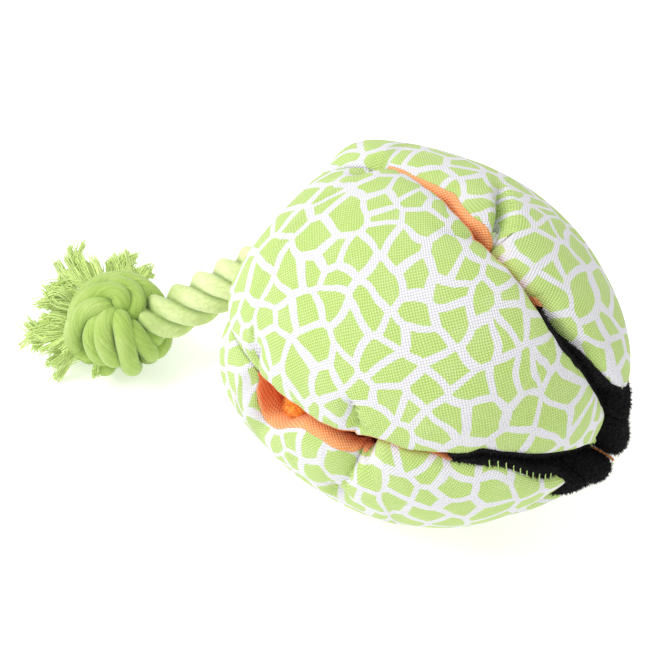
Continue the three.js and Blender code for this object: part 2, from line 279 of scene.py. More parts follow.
def makeLiningFinish(cloth):
    finish = Finish("orangeLining", roughness=0.6, sheen=0.15)
    place = finish.place("clothPlace")
    threads = weaveWire(finish, place)
    dots = finish.ramp(threads, *cloth["dots"])
    base = finish.mix(dots * cloth["threadShare"], cloth["orange"], cloth["thread"])
    worn = wornColour(finish, cloth, place, threads, base)
    # painted shade: the orange turns darker where the lining's painted-shade attribute says it lies in shadow
    finish.colour(finish.mix(finish.place("paintedShade", output=2) * cloth["paintedShadeShare"], worn, cloth["paintedShadeOrange"]))
    return finish.material


# Pile: a fine grain of two colours
tapePile = {
    "sheen": 0.0,
    "grain": 1400.0,
    "detail": 3.0,
    "light": (0.030, 0.028, 0.030, 1),
    "dark": (0.002, 0.002, 0.002, 1),
    "between": (0.35, 0.75),
    "roughness": (0.85, 0.15),
    "relief": (0.0005, 0.8),
}
fleecePile = {
    "sheen": 0.4,
    "grain": 600.0,
    "detail": 4.0,
    "light": (1.0, 0.43, 0.045, 1),
    "dark": (0.88, 0.25, 0.015, 1),
    "between": (0.3, 0.75),
    "roughness": (0.8, 0.2),
    "relief": (0.0008, 0.7),
}


def makePileFinish(name, pile):
    finish = Finish(name, roughness=0.95, sheen=pile["sheen"])
    grain = finish.noise(finish.spot(), pile["grain"], detail=pile["detail"])
    finish.colour(finish.mix(finish.ramp(grain, *pile["between"]), pile["dark"], pile["light"]))
    least, more = pile["roughness"]
    finish.roughness(least, grain, more)
    finish.relief(grain, *pile["relief"])
    return finish.material


cotton = {
    "fibre": (0.10, 1.1, 0.0),  # changes of the fibres along and across a strand, per millimetre
    "slant": 0.7,
    "contrast": (0.25, 0.7),
    "relief": (0.0007, 0.8),
    "lit": (0.450, 0.615, 0.155, 1),
    "shade": (0.310, 0.455, 0.080, 1),
    # painted shade colour for the valleys between a rope's strands and the inside of a knot
    "paintedValleyShade": (0.130, 0.265, 0.014, 1),
    "paintedValleyShadeShare": 0.6,
    # painted light colour: the cotton as it looks where light falls full on it
    "pale": (0.900, 0.950, 0.560, 1),
    "cloud": 45.0,
    "clouds": (0.35, 0.75),
    "cloudShare": 0.3,
    "grain": 700.0,
    "fuzz": (0.35, 0.7),
    "fuzzShare": 0.22,
    # over these millimetres along the rope its painted light fades, greener away from the ball
    "paintedLightFading": (45.0, 95.0),  # millimetres along the rope
    "smoothest": 0.78,
}


# One cotton for the rope, the knot and the frayed end, in lit and shaded copies: painted light pales it,
# painted shade darkens it
def makeCottonFinish(name, paintedLightLevel, paintedLightColour=cotton["pale"], paintedLightFade=0.0, paintedGlow=0.0):
    finish = Finish(name, roughness=0.85, sheen=0.25)
    finish.shader.inputs["Emission Color"].default_value = paintedLightColour
    finish.shader.inputs["Emission Strength"].default_value = paintedGlow  # painted glow, standing in for light that thin loose yarns let through
    along, around, depth = finish.parts(finish.place("yarnPlace"))
    slanted = finish.node("ShaderNodeCombineXYZ", {}, {0: along, 1: around + along * cotton["slant"]})
    fibres = finish.noise(finish.vector("MULTIPLY", slanted, cotton["fibre"]), 1.0, detail=3.0)
    spot = finish.spot()
    grain = finish.noise(spot, cotton["grain"], detail=3.0)
    cloudy = finish.noise(spot, cotton["cloud"], detail=2.0)
    lit = finish.mix(finish.ramp(fibres, *cotton["contrast"]), cotton["shade"], cotton["lit"])
    # painted light: random pale clouds plus each copy's painted light level, fading along the rope
    cloudsAndPaintedLight = finish.ramp(cloudy, *cotton["clouds"]) * cotton["cloudShare"] + paintedLightLevel
    cloudsAndPaintedLight = cloudsAndPaintedLight - finish.ramp(along, *cotton["paintedLightFading"]) * paintedLightFade
    pale = finish.mix(cloudsAndPaintedLight, lit, paintedLightColour)
    fuzzy = finish.mix(finish.ramp(grain, *cotton["fuzz"]) * cotton["fuzzShare"], pale, cotton["shade"])
    # painted shade: the third part of yarnPlace darkens the valleys and the knot's inside
    finish.colour(finish.mix(depth * cotton["paintedValleyShadeShare"], fuzzy, cotton["paintedValleyShade"]))
    finish.roughness(cotton["smoothest"], grain, 0.2)
    finish.relief(fibres + grain * 0.5, *cotton["relief"])
    return finish.material


def makeThreadFinish():
    finish = Finish("greenThread", roughness=0.6, sheen=0.2)
    grain = finish.noise(finish.spot(), 900.0, detail=2.0)
    finish.colour(finish.mix(grain, (0.38, 0.62, 0.12, 1), (0.62, 0.82, 0.32, 1)))
    return finish.material


coverFinish = makeCoverFinish(netPrint)
liningFinish = makeLiningFinish(orangeCloth)
tapeFinish = makePileFinish("blackTape", tapePile)
fleeceFinish = makePileFinish("yellowFleece", fleecePile)
# lit and shaded copies of one cotton: painted light on the rope and the frayed end, painted shade on the knot
ropeFinish = makeCottonFinish("ropeCotton", paintedLightLevel=0.64, paintedLightFade=0.34)
knotFinish = makeCottonFinish("knotCotton", paintedLightLevel=-0.12)
frayedFinish = makeCottonFinish("frayedCotton", paintedLightLevel=0.50, paintedLightColour=(0.800, 0.950, 0.370, 1), paintedGlow=0.09)
threadFinish = makeThreadFinish()
print("finishes made")


# The ball, as in the solids: an egg with a drawn-in stem end, lying on a pressed flat
ball = {
    "radius": 73.0,
    "axisHalf": 88.0,
    "stemDepth": 61.0,
    "stemRound": 10.0,
    "restSink": 4.5,
    "wall": 18.0,
    "fold": math.radians(65),
    "pillow": 3.2,
    "seamTurn": math.radians(25),
    "petals": 5,
}
sector = 2 * math.pi / ball["petals"]
ballMiddle = np.array([0.0, 0.0, ball["radius"] - ball["restSink"]])
stemPower = ball["stemRound"]
stemReach = (ball["axisHalf"] ** -stemPower + ball["stemDepth"] ** -stemPower) ** (-1 / stemPower)


def roundAxis(turn):
    return np.array([0.0, -math.sin(turn), math.cos(turn)])


def fromStem(angle, azimuth):
    angle, azimuth = np.broadcast_arrays(angle, azimuth)
    return np.stack([-np.cos(angle), -np.sin(angle) * np.sin(azimuth), np.sin(angle) * np.cos(azimuth)], -1)


def underSurface(direction, depth, lift=0.0, lowest=None):
    unit = unitRows(direction)
    across = (unit[..., 1] ** 2 + unit[..., 2] ** 2) / ball["radius"] ** 2
    roundness = np.sqrt((unit[..., 0] / ball["axisHalf"]) ** 2 + across)
    drawnIn = np.maximum(-unit[..., 0], 0) / ball["stemDepth"]
    reach = (roundness**stemPower + drawnIn**stemPower) ** (-1 / stemPower)
    points = unit * (reach + lift - depth)[..., None] + ballMiddle
    points[..., 2] = np.maximum(points[..., 2], depth if lowest is None else lowest)
    return points


# The slits. Each gapes most at one angle from the stem, and its line leans towards the petal after it.
slitRule = {
    "least": 1.2,
    "tapeRoom": 3.2,
    "tapeStart": math.radians(142),
    "tapeEase": math.radians(10),
    "flareStart": math.radians(146),
    "flareEase": math.radians(25),
}
frontSlit = {
    "gape": 21,
    "at": 72.5,
    "toStem": 5.2,
    "toTip": 14.6,
    "before": 0,
    "flare": 2,
    "proud": 3,
    "lean": [(70, 9), (100, 10), (117, 3.5), (150, 0)],
}
topSlit = {
    "gape": 2,
    "at": 102,
    "toStem": 20,
    "toTip": 12,
    "before": 1,
    "flare": 2,
    "proud": 3,
    "lean": [(68, -12.6), (97, -7.6), (118, -1), (130, 1.5), (150, 0)],
}
hiddenSlit = {
    "gape": 4,
    "at": 98,
    "toStem": 18,
    "toTip": 14,
    "before": 0.5,
    "flare": 0,
    "proud": 0.5,
    "lean": [(90, 0)],
}
lowSlit = {**hiddenSlit, "proud": -4, "corner": math.radians(14)}
acrossSlit = {**hiddenSlit, "proud": 12.5}
slits = [frontSlit, lowSlit, acrossSlit, hiddenSlit, topSlit]
petalTip = {
    "flapHalf": 17.0,
    "flapOverlap": 15.0,
    "flapSink": 6.0,
    "flapRounding": math.radians(18),
    "rounding": math.radians(17),
    "corner": math.radians(5),
    "bluntness": 2.2,
    "edge": 1.2,
    "proudFrom": math.radians(130),
    "sinkFrom": math.radians(128),
}
flapTip = math.pi + petalTip["flapOverlap"] / ball["radius"]
ringTip = math.pi - math.asin((petalTip["flapHalf"] + slitRule["tapeRoom"]) / ball["radius"])
petals = [
    {
        "number": i + 1,
        "body": f"petal_{i + 1}",
        "azimuth": (i + 0.5) * sector,
        "slitBefore": slits[i - 1],
        "slitAfter": slits[i],
        "closes": i == 0,
        "pillow": 4.6 if i == 0 else ball["pillow"],
        "longer": math.radians(3.5) if i == 1 else 0.0,
        "proudFade": 3 if i in (2, 3) else 1,
    }
    for i in range(ball["petals"])
]


def slitLean(slit, polar):
    angles, leans = zip(*slit["lean"])
    return np.interp(np.degrees(polar), angles, leans) / (ball["radius"] * np.sin(polar))


# The side angle of a slit's line on a petal, found by repeating: the lean goes by the angle from the stem
def slitSide(slit, angle, sign):
    polar = angle
    for _ in range(8):
        side = np.arctan(np.tan(sector / 2 + sign * slitLean(slit, polar)) * np.sin(angle))
        polar = np.arccos(np.cos(angle) * np.cos(side))
    return side


def slitRoom(slit, angle, share):
    at = math.radians(slit["at"])
    spread = np.where(angle < at, math.radians(slit["toStem"]), math.radians(slit["toTip"]))
    gape = slit["gape"] * bell((angle - at) / spread)
    start = slitRule["tapeStart"]
    tape = slitRule["tapeRoom"] * ease(start - slitRule["tapeEase"], start, angle)
    start = slitRule["flareStart"]
    flare = slit["flare"] * ease(start, start + slitRule["flareEase"], angle)
    return share * (gape + flare) + (slitRule["least"] + tape) / 2


def tipAngle(petal, inset):
    return (flapTip if petal["closes"] else ringTip) + petal["longer"] - inset / ball["radius"]


# The sewn edges aren't quite straight: slow waves along each, as (millimetres, pace, times the phase)
ripples = [(0.35, 21, 1), (0.2, 47, 2)]


def edgeRipple(petal, angle, side):
    phase = petal["number"] * 1.7 + side * 2.3
    return sum(size * np.sin(angle * pace + times * phase) for size, pace, times in ripples) - 0.3


# How far an edge is drawn back from its slit, in millimetres, for each petal and side
drawnBack = {
    (1, 1): [
        (118, 0), (126, -1.2), (136, -1.0), (142, -1.2), (145, 0.1), (147, 3.2), (151, 2), (157, -0.4),
        (160, 1), (166, 4.7), (172, 8.5), (178, 11.5), (181, 13), (186, 14),
    ],
    (1, -1): [
        (66, -2), (84, -1.2), (96, 0.2), (102, 1), (111, 2), (120, 1.1), (129, -0.5), (136, -1.6), (145, 0),
        (150, 0), (157, -1.8), (161, -1.8), (166, 0.2), (172, 2.1), (178, 3.5), (184, 2.3), (188, 0),
    ],
    (2, -1): [
        (90, 0), (96, 2), (102, 4.5), (108, 8.5), (118, 8.5), (121.5, -0.4), (131, -1.2), (141, -1.4),
        (148, -2.2), (156, -2.0), (160, 0),
    ],
    (5, 1): [
        (66, -1.5), (80, -1.2), (88, -0.8), (93, 1.2), (96, -0.4), (99, -2.2), (102, -3.4), (105, -3),
        (108, -1.6), (111, 0.6), (114, 2), (122.5, 1.8), (126, 0.3), (137, 0.3), (144, 0),
    ],
}


def edgePull(petal, angle, side):
    at, pulls = zip(*drawnBack.get((petal["number"], side), [(90, 0)]))
    return np.interp(np.degrees(angle), at, pulls)


def halfWidth(petal, angle, inset, side):
    slit = petal["slitAfter"] if side > 0 else petal["slitBefore"]
    share = slit["before"] if side > 0 else 1 - slit["before"]
    wedge = ball["radius"] * slitSide(slit, angle, side) - slitRoom(slit, angle, share)
    wedge = wedge + edgeRipple(petal, angle, side)
    width = np.maximum(wedge, petalTip["flapHalf"]) if petal["closes"] else wedge
    width = width - edgePull(petal, angle, side)
    besideFlap = petalTip["rounding"] if slit["flare"] else slit.get("corner", petalTip["corner"])
    rounding = petalTip["flapRounding"] if petal["closes"] else besideFlap
    along = np.clip((angle - tipAngle(petal, inset) + rounding) / rounding, 0, 1)
    blunt = petalTip["bluntness"]
    return np.maximum((width - inset) * (1 - along**blunt) ** (1 / blunt), petalTip["edge"])


# A place in a petal's padded cross-section: turn 0 is the middle of the side after, 90 degrees the crown
def petalSection(petal, angle, turn, sideInset=0.0):
    before = halfWidth(petal, angle, sideInset, -1)
    after = halfWidth(petal, angle, sideInset, 1)
    power = 2 / petal["pillow"]
    side = ((after - before) / 2 + (after + before) / 2 * signedPower(np.cos(turn), power)) / ball["radius"]
    half = ball["wall"] / 2
    roundTurn = np.arctan(np.tan(side) / np.sin(np.minimum(angle, ringTip)))
    shareAfter = np.clip(0.5 + roundTurn / sector, 0, 1)
    fade = petal["proudFade"]
    proudBefore = petal["slitBefore"]["proud"] * (1 - shareAfter) ** fade
    proudAfter = petal["slitAfter"]["proud"] * shareAfter**fade
    return side, half - half * signedPower(np.sin(turn), power), proudBefore + proudAfter


def petalPoint(petal, angle, turn, sideInset=0.0):
    angle, turn = np.broadcast_arrays(angle, turn)
    side, depth, proud = petalSection(petal, angle, turn, sideInset)
    lift = proud * ease(petalTip["proudFrom"], ringTip, angle)
    if petal["closes"]:
        lift = -petalTip["flapSink"] * ease(petalTip["sinkFrom"], flapTip, angle)
    along = fromStem(angle, petal["azimuth"]) * np.cos(side)[..., None]
    sideways = roundAxis(petal["azimuth"] + math.pi / 2) * np.sin(side)[..., None]
    lowest = np.where(np.sin(turn) > 0, 0.0, depth)
    return underSurface(along + sideways, depth, lift, lowest)


# Where points lie on a petal: angle from the stem along its middle line, and millimetres to the side of it
def petalPlace(petal, points):
    unit = unitRows(points - ballMiddle)
    side = np.arcsin(np.clip(unit @ roundAxis(petal["azimuth"] + math.pi / 2), -1, 1)) * ball["radius"]
    angle = np.arctan2(unit @ roundAxis(petal["azimuth"]), -unit[..., 0])
    return np.where(angle < -math.pi / 2, angle + 2 * math.pi, angle), side


# Panels: one printed gore and one lining for each petal, from the stem hole over the fold to the tip
panel = {
    "cupRows": 30,
    "petalRows": 84,
    "coverColumns": 61,
    "liningColumns": 64,
    "thickness": 1.0,
    "slitStart": 0.93,  # share of the way from the stem hole to the fold where a seam ends
    "holeRadius": 9.4,
    "leanAt": math.radians(70),  # the cup's seams take the slits' lean at this angle
    "leanFrom": 0.2,
    "deepFrom": 0.35,
    "coverEdge": 0.998,
    "coverRound": 0.985,
    "coverDip": (ball["wall"] / 2, 2.5),  # a cover's depth at its cup seams, by the fold and by the stem
    "liningEdge": 0.99,
    "liningDip": (10, 4),
    "liningSide": 0.2,  # share of a lining's width that goes down one side
    "liningSeam": 0.3,  # share of it that moves with its seam
    "follow": math.radians(75),  # how far round from its seam it follows the cover's folds
    "bend": 17,  # millimetres along from the fold to a point that is worked out and not used
}


# Angles from a start to a petal's tip, closer together towards the tip
def anglesToTip(petal, start, rows):
    share = np.linspace(0, 1, rows + 1)
    return start + (tipAngle(petal, 0) - start) * (1 - (1 - share) ** 1.5)


# Rows of the cup, from the stem hole to the petal's own first row. Its columns are sewn up to the neighbours
# until just before the fold, and the seams lean as the slits do there.
def cupPoints(petal, turn, across, depthAtFold, depthAtStem):
    share = np.linspace(0, 1, panel["cupRows"] + 1)[:, None]
    leaning = ease(panel["leanFrom"], 1, share)
    after = sector / 2 + slitLean(petal["slitAfter"], panel["leanAt"]) * leaning
    before = sector / 2 - slitLean(petal["slitBefore"], panel["leanAt"]) * leaning
    sewnTurn = np.where(across > 0, across * after, across * before)
    sewnDepth = depthAtStem + (depthAtFold - depthAtStem) * ease(panel["deepFrom"], 1.0, share)
    side, depth, _ = petalSection(petal, np.full_like(turn, ball["fold"]), turn)
    opened = ease(panel["slitStart"], 1, share)
    around = sewnTurn + (np.arctan(np.tan(side) / math.sin(ball["fold"])) - sewnTurn) * opened
    depth = sewnDepth + (depth - sewnDepth) * opened
    rim = np.arctan(math.tan(ball["fold"]) / np.cos(around))
    hole = np.arctan(panel["holeRadius"] / (stemReach - depth))
    return underSurface(fromStem(hole + (rim - hole) * share, petal["azimuth"] + around), depth)


# Where cover and lining meet round the cross-section. The cover goes further down the side on a lobe that
# closes over its slit. For each petal and side: angle from the stem, and the seam's turn.
seamLines = {
    (5, 1): [
        (118, 25), (121, -18), (137, -14), (138.5, 8), (141.5, 8), (143, -1),
        (149, -5), (155, 0), (160, 10), (164, 25),
    ],
    (2, -1): [(115, 25), (117.5, -10), (124, -6), (132, 10), (143, 15), (156, 15), (162, 25)],
}


def seamTurn(petal, angles, side):
    line = seamLines.get((petal["number"], side), [(90, math.degrees(ball["seamTurn"]))])
    at, turns = zip(*line)
    return np.radians(np.interp(np.degrees(angles), at, turns))[:, None]


def coverGrid(petal):
    across = np.linspace(-1, 1, panel["coverColumns"])
    angles = anglesToTip(petal, ball["fold"], panel["petalRows"])
    seam = np.where(across > 0, seamTurn(petal, angles, 1), seamTurn(petal, angles, -1))
    turn = math.pi / 2 - across * (math.pi / 2 - seam)
    pillow = (1 - np.minimum(np.abs(across), panel["coverRound"]) ** ball["pillow"]) ** (1 / ball["pillow"])
    atFold, atStem = (dip * (1 - pillow) for dip in panel["coverDip"])
    cup = cupPoints(petal, turn[0], across * panel["coverEdge"], atFold, atStem)
    return np.concatenate([cup[:-1], petalPoint(petal, angles[:, None], turn)])


# The lining's points, and how much of a cover's fold each follows: all at the seams, none on the inner face
def liningGrid(petal):
    share = np.linspace(0, 1, panel["liningColumns"])
    angles = anglesToTip(petal, ball["fold"], panel["petalRows"])
    after = seamTurn(petal, angles, 1)
    before = seamTurn(petal, angles, -1)
    plain = ball["seamTurn"]
    near = panel["liningSeam"]
    turn = plain - share * (math.pi + 2 * plain)
    turn = turn + (after - plain) * (1 - ease(0.0, near, share))
    turn = turn - (before - plain) * ease(1 - near, 1.0, share)
    rim = panel["liningSide"]
    across = panel["liningEdge"] * (1 - 2 * np.clip((share - rim) / (1 - 2 * rim), 0, 1))
    wall = np.clip(np.minimum(share, 1 - share) / rim, 0, 1)
    atFold, atStem = (dip + (ball["wall"] - dip) * wall for dip in panel["liningDip"])
    cup = cupPoints(petal, turn[0], across, atFold, atStem)
    follow = 1 - ease(0.0, panel["follow"], np.minimum(after - turn, turn + math.pi + before))
    follow = np.concatenate([np.zeros((panel["cupRows"], len(share))), follow])
    return np.concatenate([cup[:-1], petalPoint(petal, angles[:, None], turn)]), follow


def gridNormals(grid, away):
    down = np.gradient(grid, axis=0)
    across = np.gradient(grid, axis=1)
    normals = unitRows(np.cross(down, across))
    flip = np.sign(np.sum(normals * away, axis=-1).mean())
    return normals * flip, flip


# Millimetres along the middle column, and out along each row from it, as the cloth lay flat for printing
def clothPlace(grid):
    middle = grid.shape[1] // 2
    along = lengthAlong(grid[:, middle])
    gaps = np.linalg.norm(np.diff(grid, axis=1), axis=2)
    across = np.concatenate([np.zeros((len(grid), 1)), np.cumsum(gaps, axis=1)], axis=1)
    across = across - across[:, middle : middle + 1]
    return np.stack([across, np.broadcast_to(along[:, None], across.shape), np.zeros_like(across)], -1)


def pointAttribute(mesh, name, kind, values):
    attribute = mesh.attributes.new(name, kind, "POINT")
    key = "vector" if kind == "FLOAT_VECTOR" else "value"
    attribute.data.foreach_set(key, np.asarray(values, np.float32).ravel())


def newPiece(name, points, faces, finish, edges=()):
    mesh = bpy.data.meshes.new(name)
    mesh.from_pydata((np.asarray(points).reshape(-1, 3) * mm).tolist(), list(edges), faces)
    mesh.polygons.foreach_set("use_smooth", [True] * len(mesh.polygons))
    mesh.materials.append(finish)
    piece = bpy.data.objects.new(name, mesh)
    scene.collection.objects.link(piece)
    return piece


# A closed sheet of cloth from a grid of points, with its place on the flat cloth kept for the weave
def clothPiece(name, grid, away, finish, thickness=panel["thickness"], offset=(0, 0, 0)):
    rows, columns = grid.shape[:2]
    normals, flip = gridNormals(grid, away)
    place = clothPlace(grid) + np.array(offset)
    points = np.concatenate([grid.reshape(-1, 3), (grid - normals * thickness).reshape(-1, 3)])
    count = rows * columns
    index = np.arange(count).reshape(rows, columns)
    quads = np.stack([index[:-1, :-1], index[1:, :-1], index[1:, 1:], index[:-1, 1:]], -1).reshape(-1, 4)
    rim = np.concatenate([index[0, :], index[1:, -1], index[-1, -2::-1], index[-2::-1, 0]])
    wall = np.stack([rim[:-1], rim[1:], rim[1:] + count, rim[:-1] + count], -1)
    outer = quads if flip > 0 else quads[:, ::-1]
    inner = (quads[:, ::-1] if flip > 0 else quads) + count
    wall = wall if flip > 0 else wall[:, ::-1]
    faces = np.concatenate([outer, inner, wall]).tolist()
    piece = newPiece(name, points, faces, finish)
    pointAttribute(piece.data, "clothPlace", "FLOAT_VECTOR", np.concatenate([place.reshape(-1, 3)] * 2))
    return piece


# Folds and dents of the stuffed covers, at (angle from the stem, millimetres to the side) on a petal.
# A fold drops sharply on its stem side and fades from there. The lobe beside it leans over it.
folds = [
    {
        "petal": 2, "depth": 10.5, "low": 14, "high": 1.0, "lean": 2.6,
        "line": [(121.5, -42), (119.2, -37), (117, -33), (112.5, -21.5), (107.5, -10), (102, -2)],
    },
    {
        "petal": 5, "depth": 10.5, "low": 12, "high": 1.0, "lean": 2.2,
        "line": [(126, 43), (121.5, 36), (117, 30), (107, 14.8)],
    },
    {
        "petal": 5, "depth": 9.0, "low": 6, "high": 1.5, "lean": 1.5,
        "line": [(114, 29), (105, 19), (95.5, 7)],
    },
    {
        "petal": 1, "depth": 2.2, "low": 6, "high": 1.2, "lean": 0.5,
        "line": [(114, -42), (106, -37), (99, -34)],
    },
    {
        "petal": 1, "depth": 5.0, "low": 10, "high": 1.6, "lean": 0.8,
        "line": [(114.5, 44), (109, 37.5), (104, 33)],
    },
    {
        "petal": 1, "depth": 5.5, "low": 5, "high": 3.0, "lean": 0.5,
        "line": [(56, -50), (56.5, -46), (58, -42), (59, -37)],
    },
    {
        "petal": 5, "depth": 4.5, "low": 4, "high": 3.0, "lean": 0.5,
        "line": [(61.5, 33), (61, 28), (61, 20)],
    },
    {
        "petal": 1, "depth": 5.0, "low": 4, "high": 3.0, "lean": 0.5,
        "line": [(61.8, 46), (63.6, 41), (66.1, 37), (68.7, 33)],
    },
    {
        "petal": 2, "depth": 4.5, "low": 5, "high": 3.0, "lean": 0.5,
        "line": [(64, -36), (63.8, -28), (63.3, -20)],
    },
    {
        "petal": 4, "depth": 5.5, "low": 22, "high": 1.6, "lean": 1.0,
        "line": [(118, 36), (108, 22), (100, 8)],
    },
]
foldRule = {"fall": 1.6, "fadeFrom": 0.35, "leanBelow": 1.5, "leanAbove": 5.0}
pits = [
    {"petal": 2, "at": (102, 0), "depth": 7.0, "size": 4.5},
    {"petal": 1, "at": (50, 12), "depth": -2.6, "size": 26},
    {"petal": 1, "at": (32, -3), "depth": 6.5, "size": 20},
    {"petal": 5, "at": (48, 14), "depth": -3.0, "size": 13},
    {"petal": 2, "at": (50, -4), "depth": -3.0, "size": 26},
]
stuffing = {
    "swell": 1.1,
    "swellLength": 34.0,
    "pucker": 0.9,
    "puckerLength": 7.5,
    "puckerReach": 0.2,
    "puckerPace": 2.2,
    "puckerRest": 0.25,
    "freePower": 6,
}


def foldDepth(fold, angle, side):
    line = np.array([(math.radians(a) * ball["radius"], s) for a, s in fold["line"]])
    here = np.stack([angle * ball["radius"], side], -1)
    best = np.full(angle.shape, 1e9)
    signed = np.zeros(angle.shape)
    share = np.zeros(angle.shape)
    for i in range(len(line) - 1):
        step = line[i + 1] - line[i]
        t = np.clip(((here - line[i]) @ step) / (step @ step), 0, 1)
        gap = here - (line[i] + t[..., None] * step)
        distance = np.linalg.norm(gap, axis=-1)
        nearer = distance < best
        best = np.where(nearer, distance, best)
        signed = np.where(nearer, np.where(gap[..., 0] < 0, distance, -distance), signed)
        share = np.where(nearer, (i + t) / (len(line) - 1), share)
    below = np.maximum(1 - best / fold["low"], 0) ** foldRule["fall"]
    fall = np.where(signed > 0, below, bell(best / fold["high"]))
    fade = 1 - ease(foldRule["fadeFrom"], 1.0, share)
    over = bell(best / np.where(signed > 0, foldRule["leanBelow"], foldRule["leanAbove"]))
    return fold["depth"] * fall * fade, fold["lean"] * over * fade


# How far the folds of a petal move points of its cover, or of its lining's seam
def folded(petal, points):
    angle, side = petalPlace(petal, points)
    outward = unitRows(points - ballMiddle)
    stem = np.array([-1.0, 0.0, 0.0])
    towardsStem = unitRows(stem - outward * (outward @ stem)[..., None])
    shift = np.zeros(points.shape)
    for fold in folds:
        if fold["petal"] == petal["number"]:
            drop, lean = foldDepth(fold, angle, side)
            shift = shift - outward * drop[..., None] + towardsStem * lean[..., None]
    return shift


def noiseGrid(first, second, seed):
    flat = zip(first.ravel(), second.ravel())
    values = [noise.noise(Vector((a, b, seed))) for a, b in flat]
    return np.array(values).reshape(first.shape)


def stuffedCover(petal, grid):
    number = petal["number"]
    normals, _ = gridNormals(grid, grid - ballMiddle)
    angle, side = petalPlace(petal, grid)
    place = clothPlace(grid)
    across = np.linspace(-1, 1, grid.shape[1])[None] * np.ones((len(grid), 1))
    free = 1 - np.abs(across) ** stuffing["freePower"]
    swollen = place / stuffing["swellLength"]
    swell = noiseGrid(swollen[..., 0], swollen[..., 1], number * 3.7)
    nearSeam = bell((1 - np.abs(across)) / stuffing["puckerReach"])
    puckered = place[..., 1] / stuffing["puckerLength"]
    puckers = noiseGrid(across * stuffing["puckerPace"], puckered, number * 5.1 + 40) - stuffing["puckerRest"]
    out = stuffing["swell"] * swell * free + stuffing["pucker"] * puckers * nearSeam * free
    for pit in pits:
        if pit["petal"] == number:
            away = np.hypot((angle - math.radians(pit["at"][0])) * ball["radius"], side - pit["at"][1])
            out = out - pit["depth"] * bell(away / pit["size"]) * free
    shaped = grid + normals * out[..., None] + folded(petal, grid)
    shaped[..., 2] = np.maximum(shaped[..., 2], 0)
    return shaped


def foldBlend(piece, petal):
    middle = underSurface(fromStem(ball["fold"], petal["azimuth"]), 0.0)
    along = fromStem(ball["fold"] + math.pi / 2, petal["azimuth"])
    start = middle * mm
    tuple(start + along * panel["bend"] * mm)
    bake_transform(piece)


# Painted shade on the lining: how far a place of it lies under the surface, and whether it lies in the closed
# end of a slit, darkens its orange
paintedShade = {"depth": (8, 13), "cornerDepth": (4.2, 5.4), "corner": (math.radians(69.8), math.radians(71.4))}


def liningShade(petal, lining):
    under = np.linalg.norm(underSurface(lining - ballMiddle, 0.0) - lining, axis=-1)
    angle, _ = petalPlace(petal, lining)
    inCorner = (1 - ease(*paintedShade["corner"], angle)) * ease(*paintedShade["cornerDepth"], under)
    return np.maximum(ease(*paintedShade["depth"], under), inCorner)


for petal in petals:
    number = petal["number"]
    body = petal["body"]
    cover = coverGrid(petal)
    stuffed = stuffedCover(petal, cover)
    shift = np.array(netPrint["shift"]) * number
    coverPiece = clothPiece(f"cover_{number}", stuffed, cover - ballMiddle, coverFinish, offset=shift)
    foldBlend(coverPiece, petal)
    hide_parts(f"{body}_cover", f"{body}_padding", "cup_cover", "cup_padding")
    lining, follow = liningGrid(petal)
    lining = lining + folded(petal, lining) * follow[..., None]
    away = lining - lining.mean(axis=1, keepdims=True)
    liningPiece = clothPiece(f"lining_{number}", lining, away, liningFinish)
    # the lining's painted shade, kept on it as an attribute for its finish
    pointAttribute(liningPiece.data, "paintedShade", "FLOAT", np.tile(liningShade(petal, lining).ravel(), 2))
    foldBlend(liningPiece, petal)
    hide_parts(f"{body}_lining", "cup_lining")
print("panels sewn")


# Geometry Nodes helpers
def newTree(name, inputs):
    tree = bpy.data.node_groups.new(name, "GeometryNodeTree")
    tree.interface.new_socket("Geometry", in_out="INPUT", socket_type="NodeSocketGeometry")
    for label, kind in inputs:
        tree.interface.new_socket(label, in_out="INPUT", socket_type=kind)
    tree.interface.new_socket("Geometry", in_out="OUTPUT", socket_type="NodeSocketGeometry")
    return tree, tree.nodes.new("NodeGroupInput"), tree.nodes.new("NodeGroupOutput")


def treeNode(tree, kind, settings, sockets):
    made = tree.nodes.new(kind)
    for key, value in settings.items():
        setattr(made, key, value)
    for key, value in sockets.items():
        if isinstance(value, bpy.types.NodeSocket):
            tree.links.new(value, made.inputs[key])
        else:
            made.inputs[key].default_value = value
    return made


# Runs a tree on a source piece and keeps the result as a plain mesh
def grown(name, source, tree, values):
    modifier = source.modifiers.new("grow", "NODES")
    modifier.node_group = tree
    for item in tree.interface.items_tree:
        if item.in_out == "INPUT" and item.name in values:
            modifier[item.identifier] = values[item.name]
    depsgraph = bpy.context.evaluated_depsgraph_get()
    mesh = bpy.data.meshes.new_from_object(source.evaluated_get(depsgraph))
    mesh.name = name
    bpy.data.objects.remove(source)
    piece = bpy.data.objects.new(name, mesh)
    scene.collection.objects.link(piece)
    return piece


